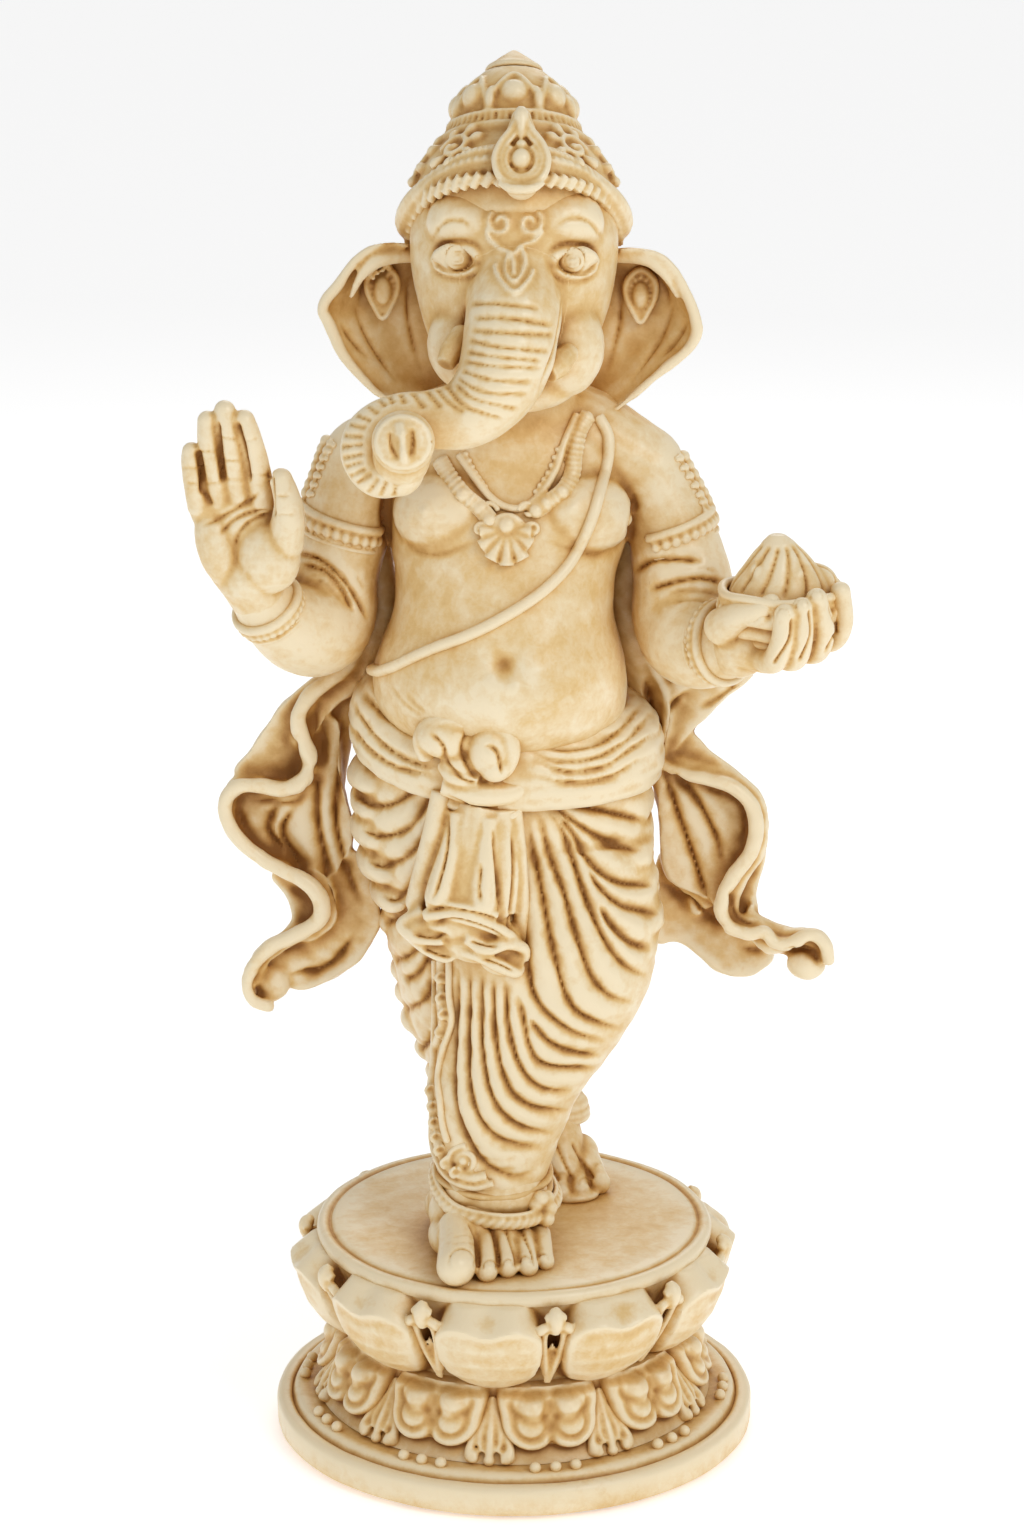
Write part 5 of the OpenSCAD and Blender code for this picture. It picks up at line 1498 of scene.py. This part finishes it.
for side, (inner, outer) in EARS.items():
    inner, outer = smooth_path(inner, 10), smooth_path(outer, 5)
    rows, columns = 26, 24
    share = np.linspace(0, 1, rows)
    layers = []
    for back in (0, 1):
        for t in share:
            a, b = along(inner, t), along(outer, t)
            for s in np.linspace(0, 1, columns):
                x, z = a + (b - a) * s
                roll = math.exp(-(t / 0.14) ** 2) + 0.5 * math.exp(-((1 - s) / 0.12) ** 2)
                y = 4 - 12 * s * s - 7 * roll + 2.2 * math.sin(9 * s + 5 * t) * s + back * (6 - 2 * s)
                layers.append(seen(x, z, y))
    count = rows * columns
    faces = grid_faces(rows, columns, False)
    faces += [tuple(v + count for v in f[::-1]) for f in grid_faces(rows, columns, False)]
    edge = ([(0, j) for j in range(columns)] + [(i, columns - 1) for i in range(1, rows)]
            + [(rows - 1, j) for j in range(columns - 2, -1, -1)] + [(i, 0) for i in range(rows - 2, 0,
                                                                                           -1)])
    ids = [i * columns + j for i, j in edge]
    faces += [(ids[k - 1], ids[k], ids[k] + count, ids[k - 1] + count) for k in range(len(ids))]
    sheet = mesh_object("ear", np.array(layers), faces)
    way = -1 if side == "right" else 1
    rim = [seen(x - way * 1.2, z - 1.0, -12, 0.9 + 1.7 * math.sin(math.pi * k / (len(outer) - 1)))
           for k, (x, z) in enumerate(outer)]
    fold = [seen(way * 36, 518, -6, 2.4), seen(way * 46, 519, -9, 3.4), seen(way * 56, 517, -11, 3.2),
            seen(way * 63, 510, -12, 2.2), seen(way * 67, 502, -11, 1.0)]
    ear = clay(side + "_ear_carved", 0.9, 8, sheet, rod(rim[::3]), limb(fold))
    tree = tree_of(ear)
    crease(ear, [front(tree, [(way * a, b) for a, b in line]) for line in [
        [(43, 512), (44, 498), (42, 484), (38, 470)], [(66, 500), (62, 488), (55, 476), (48, 466)],
        [(72, 492), (67, 484), (60, 476)], [(47, 512), (56, 512), (62, 505), (64, 496)]]], 5, 1.6, 0.3)
    roughen(ear, 20, 0.15, 7.0)
    finish_piece(ear, FIGURE_RESIN, side + "_ear")
    tree = tree_of(ear)
    x, z = STONES[side]
    path = smooth_path([(x + a, z + b) for a, b in DROP], 4, True)
    frame_line = front(tree, path, 0)
    frame_line[:, 1] = frame_line[:, 1].mean() * 0.6 + frame_line[:, 1] * 0.4 - 2.0
    middle = frame_line.mean(0)
    parts = [cord(frame_line, 1.5, 4, True), ball(*middle, 5.2, (0.72, 0.5, 1.15), segments=20),
             ball(middle[0], middle[1] + 2.4, middle[2], 8, (0.8, 0.35, 1.35), segments=20)]
    for k in range(0, len(frame_line), 2):
        parts.append(ball(*(frame_line[k] * 0.72 + middle * 0.28), 1.1, segments=10))
    earring = clay(side + "_earring_carved", 0.6, 0, parts)
    finish_piece(earring, DEEP_RESIN, side + "_earring")

# %% [markdown]
# ## Crown
# The crown leans back. Its ornaments are placed by three numbers: the angle round its own axis from
# the front, the distance up that axis, and the lift off its surface.

# %% crown body
LEAN = math.radians(24)
CROWN_LINE = [(0, 40), (6, 42), (12, 41), (18, 38), (24, 34), (28, 30.5), (33, 27.5), (38, 25.5), (44, 24),
              (50, 21.5), (55, 17.5), (59.5, 12.5), (60.5, 10.4), (62, 11.2), (66, 5.6), (69.5, 0.6)]
UP = np.array([0, math.sin(LEAN), math.cos(LEAN)])
FORE = np.array([0, -math.cos(LEAN), math.sin(LEAN)])
CROWN_FOOT = np.array([0, -12, 537])


def on_crown(degrees, up, lift=0.0, *rest):
    r = np.interp(up, [p[0] for p in CROWN_LINE], [p[1] for p in CROWN_LINE]) + lift
    t = math.radians(degrees)
    p = CROWN_FOOT + up * UP + r * (math.sin(t) * np.array([1, 0, 0]) + math.cos(t) * FORE)
    return (*p, *rest)


def crown_form(line, lift=0.0, sides=96):
    rows = smooth_path(line, 4)
    points = [[CROWN_FOOT + s * UP + (r + lift) * (math.sin(t) * np.array([1, 0, 0]) + math.cos(t) * FORE)
               for t in np.linspace(0, 2 * math.pi, sides, endpoint=False)] for s, r in rows]
    faces = grid_faces(len(rows), sides)
    faces += [tuple(range(sides - 1, -1, -1)), tuple((len(rows) - 1) * sides + j for j in range(sides))]
    return mesh_object("crown", np.array(points).reshape(-1, 3), faces)


def crown_ring(up, lift, r):
    return cord(np.array([on_crown(a, up, lift) for a in range(0, 360, 2)]), r, 3, True)


# %% [markdown]
# ## Crown band
# A roped roll arches over the forehead and comes down to the ears, with a leaf row above it. Its strands
# are short slanted rods, set one after the other along the roll.

# %% band
ARCH = [(0, -51, 558), (13, -49.5, 557.5), (23, -44, 555), (31.5, -35, 550), (38, -23, 542),
        (41.5, -12, 533), (42, -3, 526.5), (36, 11, 530), (21, 25, 538), (0, 29, 541)]
ARCH = ARCH + [(-x, y, z) for x, y, z in ARCH[-2:0:-1]]


def arch(out, rise, per=12):
    """The band's line moved outwards and upwards, less so where it comes down at the ears."""
    line = smooth_path(ARCH, per, True)
    way = line - np.array([0, -11, 0])
    way[:, 2] = 0
    way = way / np.linalg.norm(way, axis=1)[:, None]
    side = np.abs(way[:, 0]) ** 4
    line = line + way * (out * (1 - side) + side * (0.4 + 0.3 * rise))[:, None]
    line[:, 2] += rise * (1 - 0.45 * side)
    return line


def beads_along(line, every, half, radius, tilt):
    """Short strands laid slantwise over a line, like the turns of a rope or the leaves of a wreath."""
    parts = []
    for k in range(0, len(line), every):
        ahead = line[(k + 1) % len(line)] - line[k - 1]
        ahead = ahead / np.linalg.norm(ahead)
        slant = ahead * half + np.array([0, 0, tilt])
        if abs(slant[0]) < 1e-6:
            slant[0] = 1e-3
        middle = line[k]
        parts.append(rod([(*(middle - slant), radius * 0.55), (*middle, radius),
                          (*(middle + slant), radius * 0.55)], 2, 5))
    return parts


band_parts = [cord(arch(-1.0, 0), 2.3, 4, True), cord(arch(-3.4, 3.6), 2.8, 4, True)]
band_parts += beads_along(arch(1.4, 0, per=16), 6, 1.8, 1.9, 2.6)
band_parts += [cord(arch(-5.5, 6.5), 3.4, 4, True), cord(arch(-9, 9.5), 3.2, 4, True)]
band_parts += beads_along(arch(-3.6, 6.8, per=16), 5, 2.4, 2.5, -1.0)
band_parts += beads_along(arch(-6.6, 10.4, per=16), 4, 1.4, 1.8, 1.0)
band = clay("crown_band_carved", 0.78, 0, band_parts)
finish_piece(band, BASE_RESIN, "crown_band")


# %% [markdown]
# ## Ornaments of the crown
# Scrolling leaves go round the lower tier and domed leaves round the upper one. One rosette is built
# and repeated, so that the rows stay even.

# %% ornaments and crown
def rosette(a, up, size, way):
    """Scrolling leaf: a spiral with a bead, and three leaf tips round it."""
    parts = []
    spiral = [on_crown(a + way * (size - 0.34 * k) * 1.9 * math.cos(0.5 * k),
                       up + (size - 0.34 * k) * math.sin(0.5 * k), 0.6 + 0.08 * k,
                       1.4) for k in range(int(size / 0.42))]
    parts.append(rod(spiral, None, 3))
    parts.append(ball(*on_crown(a, up, 0.6), 2.0, segments=14))
    for t in (-80, -30, 20, 70, 130, 230):
        c, s = math.cos(math.radians(t)), math.sin(math.radians(t))
        parts.append(rod([on_crown(a - way * size * 1.5 * c, up + size * 0.8 * s, 0.3, 1.4),
                          on_crown(a - way * size * (2.4 * c + 0.3 * s), up + size * (1.3 * s + 0.1), 0.7,
                                   2.4),
                          on_crown(a - way * size * (2.6 * c + 0.9 * s), up + size * (1.5 * s + 0.3), 0.2,
                                   0.9)]))
    return parts


ornaments = []
for a, way in ((40, 1), (-40, -1), (85, 1), (-85, -1), (132, 1), (-132, -1), (180, 1)):
    ornaments += rosette(a, 20.5, 6.4, way)
ornaments += [crown_ring(31, 0.6, 1.2), crown_ring(36.6, 0.8, 1.0), crown_ring(29.2, 0, 0.9)]
for a in range(0, 360, 6):
    ornaments.append(rod([on_crown(a, 32, 0.4, 0.8), on_crown(a, 35.6, 0.6, 0.8)]))
# domed leaves of the upper tier
for k, a in enumerate(range(0, 360, 45)):
    wide = 1.0 if k else 1.25
    ornaments.append(rod([on_crown(a - 19 * wide, 38.2, 0, 1.0), on_crown(a - 17 * wide, 44, 0.6, 1.2),
                          on_crown(a - 10 * wide, 50, 0.6, 1.2), on_crown(a, 54, 0.6, 1.1),
                          on_crown(a + 10 * wide, 50, 0.6, 1.2), on_crown(a + 17 * wide, 44, 0.6, 1.2),
                          on_crown(a + 19 * wide, 38.2, 0, 1.0)]))
    ornaments.append(ball(*on_crown(a, 44.5, -3.4), 6.6, (1.0, 1.0, 1.0), segments=20))
    ornaments.append(rod([on_crown(a + 22.5, 38, 0.2, 1.6), on_crown(a + 22.5, 43, 1, 2.0),
                          on_crown(a + 22.5, 48, 0.6, 1.0)]))
crown = clay("crown_body_carved", 0.8, 1, crown_form([(-10, 34), (-6, 38), (2, 40), (10, 40),
                                                      (14, 39)] + CROWN_LINE[3:12]), ornaments)
finish_piece(crown, BASE_RESIN, "crown_body")

# %% finial
finial = clay("crown_finial_carved", 0.6, 1, crown_form([(60, 7), (60.6, 10.6), (62, 11.4), (64, 8.6),
                                                         (66.4, 5.4), (69.5, 0.9)], 0, 48),
              crown_ring(60.8, 0.4, 1.0))
finish_piece(finial, BASE_RESIN, "crown_finial")

# %% [markdown]
# ## Medallion
# A drop-shaped jewel leans on the band over the forehead: two frames, a stone and a ring of beads on
# a slanting plane, with rods behind it that reach back to the crown.

# %% medallion
MEDAL = (3, 561)


def teardrop(scale):
    line = [(0, 17), (-3.4, 11), (-8.4, 4.6), (-10.6, -2), (-8, -9.4), (0, -12.6), (8, -9.4), (10.6, -2),
            (8.4, 4.6), (3.4, 11)]
    return [(MEDAL[0] + x * scale, MEDAL[1] - 1 + z * scale) for x, z in line]


def on_medal(x, z, lift, *rest):
    """Point of the medallion's leaning face that the front view shows at (x, z)."""
    return seen(x, z, -52 + 0.62 * (z - MEDAL[1]) - lift, *rest)


def medal_line(line, lift, r, closed=True):
    return cord(np.array([on_medal(x, z, lift) for x, z in smooth_path(line, 4, closed)]), r, 4, closed)


X, Z = MEDAL
parts = [limb([on_medal(X, z, lift - r, r) for z,
               r in ((549, 7), (555, 10.5), (562, 10), (569, 6.5), (575, 4))], 5, 10)
         for lift in (0.6, -7, -13)]
parts += [
         medal_line(teardrop(1.0), 0.6, 1.7), medal_line(teardrop(0.78), 1.2, 1.1),
         ball(*on_medal(X, Z - 3, 0.2), 4.2, (1, 1, 1.15)), ball(*on_medal(X, Z + 3, 0.6), 2.4),
         rod([on_medal(X, 567, 0.4, 1.6), on_medal(X, 572, 1.4, 2.4), on_medal(X, 576, 1.8, 3.0),
              on_medal(X, 579, 1.2, 2.0)]),
         rod([on_medal(X - 9, 549, 0.4, 1.2), on_medal(X - 4, 546.5, 1.4, 1.9),
              on_medal(X + 4, 546.5, 1.4, 1.9), on_medal(X + 9, 549, 0.4, 1.2)])]
for k in range(3, 22):
    t = 2 * math.pi * k / 24 + math.pi / 2
    parts.append(ball(*on_medal(X + 6.3 * math.cos(t), Z - 3 + 6.6 * math.sin(t), 1.0), 1.4, segments=10))
medallion = clay("crown_medallion_carved", 0.6, 0, parts)
finish_piece(medallion, BASE_RESIN, "crown_medallion")

# %% [markdown]
# ## Scarves
# The long scarf hangs at both sides. Its sheet is built from soft vertical folds, and the rolled edge
# winds down in front of it.

# %% scarf tools
def panel(outline, near, far):
    """Flat slab with a front-view outline between two depths."""
    line = smooth_path(outline, 4, True)
    count = len(line)
    points = [seen(x, z, near) for x, z in line] + [seen(x, z, far) for x, z in line]
    faces = [tuple(range(count)), tuple(range(2 * count - 1, count - 1, -1))]
    faces += [((k + 1) % count, k, k + count, (k + 1) % count + count) for k in range(count)]
    return mesh_object("panel", points, faces)


def scarf(name, slabs, sheet, pads, rims, folds, deep):
    parts = [panel(*slab) for slab in slabs]
    parts += [limb([seen(*stop) for stop in line], 6, 6) for line in sheet]
    parts += [lump(x, z, y, r, stretch, turn) for x, z, y, r, stretch, turn in pads]
    parts += [limb([seen(x, z, y, r * 0.82) for x, z, y, r in line], 6, 6) for line in rims]
    obj = clay(name, 1.08, 8, parts)
    tree = tree_of(obj)
    crease_all(obj, tree, folds, 9, 5.0, 0.25)
    crease_all(obj, tree, deep, 5, 2.2, 0.2)
    back = [behind(tree, [(x * 0.97, 90, z + 4) for x, z in line], 5) for line in folds[:2]]
    crease(obj, back, 8, 3, 0.25)
    roughen(obj, 16, 0.25, 8.0)
    return obj


# %% right scarf
right_scarf = scarf(
    "right_scarf_carved",
    [([(-62, 350), (-72, 346), (-84, 340), (-92, 334), (-100, 326), (-106, 317), (-112, 308), (-119, 298),
       (-108, 291), (-98, 291), (-90, 296), (-84, 312), (-76, 326), (-64, 336)], 0, 14),
     ([(-84, 320), (-88, 292), (-100, 288), (-115, 290), (-122, 283), (-121, 274), (-112, 264), (-100, 256),
       (-92, 250), (-76, 252), (-68, 270), (-72, 292), (-74, 320)], 2, 14),
     ([(-104, 252), (-98, 243), (-95, 233), (-99, 226), (-88, 222), (-76, 232), (-78, 250), (-90, 256)], 0,
      14),
     ([(-82, 262), (-66, 262), (-60, 246), (-57, 232), (-62, 220), (-68, 212), (-80, 204), (-92, 200),
       (-104, 206), (-102, 220), (-86, 228), (-80, 240)], 4, 18)],
    [[(-58, 400, 6, 6.5), (-57, 384, 6, 8), (-56, 370, 6, 8), (-60, 356, 7, 8), (-66, 344, 10, 8),
      (-73, 326, 13, 8), (-78, 300, 15, 7.5), (-79, 272, 16, 7.5), (-76, 246, 16, 7.5), (-72, 222, 16, 7)],
     [(-68, 348, 6, 6), (-80, 332, 10, 7), (-86, 312, 12, 7), (-89, 290, 12, 7), (-91, 268, 12, 7),
      (-86, 246, 14, 7)],
     [(-94, 286, 8, 5), (-96, 270, 7, 5), (-91, 256, 6, 5)]],
    [(-111, 277, 10, 12, (1, 0.4, 1), (0, -30, 0)), (-105, 203, 2, 8.5, (1, 0.7, 1.0), (0, 0, 0)),
     (-96, 212, 8, 12, (1, 0.6, 0.9), (0, 0, 0))],
    [[(-64, 356, 2, 3.4), (-70, 345, 0, 4), (-80, 337, -2, 4.2), (-88, 330, -4, 4.2), (-91.5, 321, -6, 4.4),
      (-89, 311, -6, 4.6), (-86, 302, -6, 4.8), (-89, 294.5, -7, 4.8), (-98, 290.5, -8, 4.4),
      (-109, 292, -8, 4.2), (-118, 291.5, -7, 4.2), (-123, 285, -6, 4), (-122, 276, -6, 4),
      (-117, 267.5, -6, 4), (-108, 259.5, -6, 4), (-98, 254, -7, 4.2), (-88, 248, -8, 4.6),
      (-82.5, 240, -8, 4.8), (-84.5, 231, -8, 4.6), (-94, 225, -8, 4.4), (-104, 220, -8, 4.2),
      (-111, 213, -8, 4), (-114.5, 204, -7, 3.8), (-113, 196, -6, 3.6), (-106, 192.5, -5, 3.6)],
     [(-66, 354, 5, 4), (-72, 343, 4, 5), (-82, 334, 3, 5), (-89, 326, 1, 5), (-91, 316, 0, 5),
      (-88, 306, 0, 5), (-88, 297, 0, 5), (-97, 293, 0, 5), (-108, 294, 0, 5), (-118, 292, 1, 4.6),
      (-122, 284, 1, 4.6), (-121, 275, 1, 4.6), (-115, 266, 1, 4.6), (-106, 259, 1, 4.6), (-96, 254, 0, 5),
      (-86, 246, 0, 5), (-84, 238, 0, 5), (-88, 229, 0, 5), (-98, 223, 0, 5),
      (-108, 216, -2, 5), (-112, 206, -2, 5)]],
    [[(-78, 330), (-82, 305), (-84, 280), (-80, 255), (-74, 232)],
     [(-72, 322), (-74, 300), (-76, 275), (-70, 250), (-64, 236)],
     [(-93, 284), (-99, 270), (-90, 256), (-84, 250)], [(-100, 285), (-105, 272), (-96, 260)],
     [(-98, 207), (-86, 208), (-76, 214), (-68, 226)]],
    [[(-96, 320), (-92, 308), (-93, 299), (-101, 296), (-112, 298)],
     [(-118, 283), (-114, 272), (-106, 264), (-97, 260)], [(-97, 247), (-88, 241), (-88, 234), (-94, 230)],
     [(-110, 208), (-112, 201), (-108, 196)], [(-82, 330), (-84, 320), (-82, 308), (-80, 298)],
     [(-84, 298), (-92, 285), (-104, 285), (-114, 286)]])
finish_piece(right_scarf, BASE_RESIN, "right_scarf")

# %% left scarf
left_scarf = scarf(
    "left_scarf_carved",
    [([(56, 346), (100, 343), (90, 331), (80, 321), (72, 312), (62, 302), (56, 320)], 2, 12),
     ([(62, 303), (74, 316), (84, 307), (97, 297), (106, 287), (108, 274), (107, 258), (104, 244),
       (104, 234), (92, 230), (84, 240), (66, 250), (62, 270)], 4, 16),
     ([(62, 262), (60, 224), (70, 222), (78, 217), (88, 208), (98, 206), (106, 208), (112, 216), (104, 228),
       (90, 236), (76, 246)], 15, 22),
     ([(102, 240), (104, 235), (112, 231), (120, 228), (128, 227), (120, 216), (106, 220), (98, 228)], 0,
      8)],
    [[(49, 400, 6, 6.5), (48, 384, 6, 8), (48, 366, 6, 8), (53, 345, 9, 8), (57, 326, 11, 7),
      (60, 308, 10, 6)],
     [(72, 344, 5, 6), (67, 328, 6, 6), (63, 312, 6, 5.5), (62, 303, 5, 5)],
     [(62, 302, 6, 5), (66, 286, 11, 6), (70, 268, 13, 6), (74, 252, 14, 6), (80, 238, 14, 5)],
     [(66, 300, 8, 5), (78, 284, 12, 6), (86, 268, 13, 6), (90, 252, 11, 5)]],
    [(126, 212, -2, 8, (1.1, 0.8, 0.9), (0, 0, 0)), (112, 222, 0, 7, (1.2, 0.8, 0.8), (0, 0, 0))],
    [[(62, 302, 0, 3), (70, 298, -1, 3.4), (82, 295, -2, 3.8), (93, 291.5, -3, 4), (101, 284, -4, 4.2),
      (103.5, 273, -5, 4.2), (101, 262, -6, 4.2), (95, 253, -7, 4.2), (90, 244, -8, 4.2), (89, 235, -8, 4),
      (93, 228, -8, 3.8), (101, 225.5, -8, 3.6), (108, 226.5, -8, 3.6), (112, 221.5, -8, 3.6),
      (119, 221, -9, 3.8), (127, 225.5, -10, 4), (133.5, 221.5, -10, 4), (135.5, 213.5, -9, 3.4)],
     [(64, 304, 4, 4), (76, 300, 4, 5), (90, 296, 4, 5), (101, 288, 3, 5), (105, 276, 2, 5),
      (103, 262, 1, 5), (97, 252, 0, 5), (93, 242, -1, 5), (94, 232, -1, 5), (104, 229, -1, 5),
      (114, 224, -2, 5), (126, 224, -3, 5), (133, 217, -4, 4.4)],
     [(56, 350, 2, 3), (62, 338, 2, 3), (66, 326, 1, 3), (64, 312, 1, 3), (62, 303, 1, 3)]],
    [[(64, 300), (68, 285), (74, 268), (80, 250), (84, 238)], [(66, 300), (77, 287), (86, 270), (90, 256)],
     [(62, 250), (72, 242), (82, 235), (92, 227)], [(64, 303), (65, 316), (69, 328), (75, 334)],
     [(55, 340), (58, 326), (62, 312)]],
    [[(72, 294), (84, 290), (95, 286), (99, 276), (97, 265)],
     [(92, 246), (95, 236), (100, 231), (106, 231)], [(114, 218), (122, 219), (129, 217), (131, 211)],
     [(96, 221), (102, 218), (108, 218)], [(78, 326), (86, 330), (96, 338)]])
finish_piece(left_scarf, BASE_RESIN, "left_scarf")

# %% [markdown]
# ## Scarf behind the waist
# The scarf passes behind the waist as four rolls of cloth side by side.

# %% scarf behind the waist
back_rolls = []
for k, (z, r) in enumerate(((346, 6), (338, 7), (329, 7), (321, 6))):
    back_rolls.append(limb([(-62, 18, z, r * 0.8), (-56, 30, z - 3, r), (-38, 40, z - 7, r),
                            (-14, 44, z - 10, r), (14, 44, z - 10, r), (40, 40, z - 7, r),
                            (58, 30, z - 3, r), (64, 18, z, r * 0.8)], 6, 6))
scarf_back = clay("scarf_back_carved", 1.0, 3, back_rolls)
tree = tree_of(scarf_back)
crease(scarf_back, [behind(tree, [(-50, 120, z + 2), (-20, 120, z - 3), (10, 120, z - 4), (45, 120, z + 1)])
                    for z in (338, 331, 323, 316)], 5, 2.2)
finish_piece(scarf_back, BASE_RESIN, "scarf_back")

# %% [markdown]
# ## Hidden fixings
# The felt pad and the steel inside the castings keep their plain shapes. Each takes a small procedural
# material: felt is rough with a soft sheen, and zinc-plated steel is a metal with faint mottling.

# %% felt and steel
def mottled(name, dark, light, metallic, rough, scale, sheen=0.0):
    material, nodes, links = nodes_of(name)
    shader = nodes["Principled BSDF"]
    shader.inputs["Metallic"].default_value = metallic
    shader.inputs["Roughness"].default_value = rough
    shader.inputs["Sheen Weight"].default_value = sheen
    grain = noise(nodes, links, scale, 6)
    tone = ramp(nodes, [(0.3, dark), (0.7, light)])
    links.new(grain, tone.inputs["Fac"])
    links.new(tone.outputs["Color"], shader.inputs["Base Color"])
    return material


felt = mottled("green_felt", (0.07, 0.12, 0.08), (0.14, 0.22, 0.15), 0.0, 0.95, 900, 0.4)
zinc = mottled("zinc_steel", (0.45, 0.45, 0.46), (0.66, 0.66, 0.68), 1.0, 0.34, 120)
FIXINGS = ("tie_rod", "tie_washer", "tie_nut", "top_nut", "leg_pins", "waist_dowel", "neck_dowel",
           "shoulder_dowels", "wrist_dowels")
for node, material in [("felt_pad", felt)] + [(node, zinc) for node in FIXINGS]:
    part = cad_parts[node]
    part.data.materials.clear()
    part.data.materials.append(material)
print("fixings:", len(FIXINGS), "in zinc-plated steel, one felt pad")

# %% [markdown]
# ## Closing the file
# The last cell counts the pieces and their triangles.

# %% finish
shown = list(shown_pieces())
faces = {p.name: sum(len(f.vertices) - 2 for f in p.data.polygons) for p in shown}
print(len(shown), "pieces,", sum(faces.values()), "triangles, most in", max(faces, key=faces.get),
      max(faces.values()))
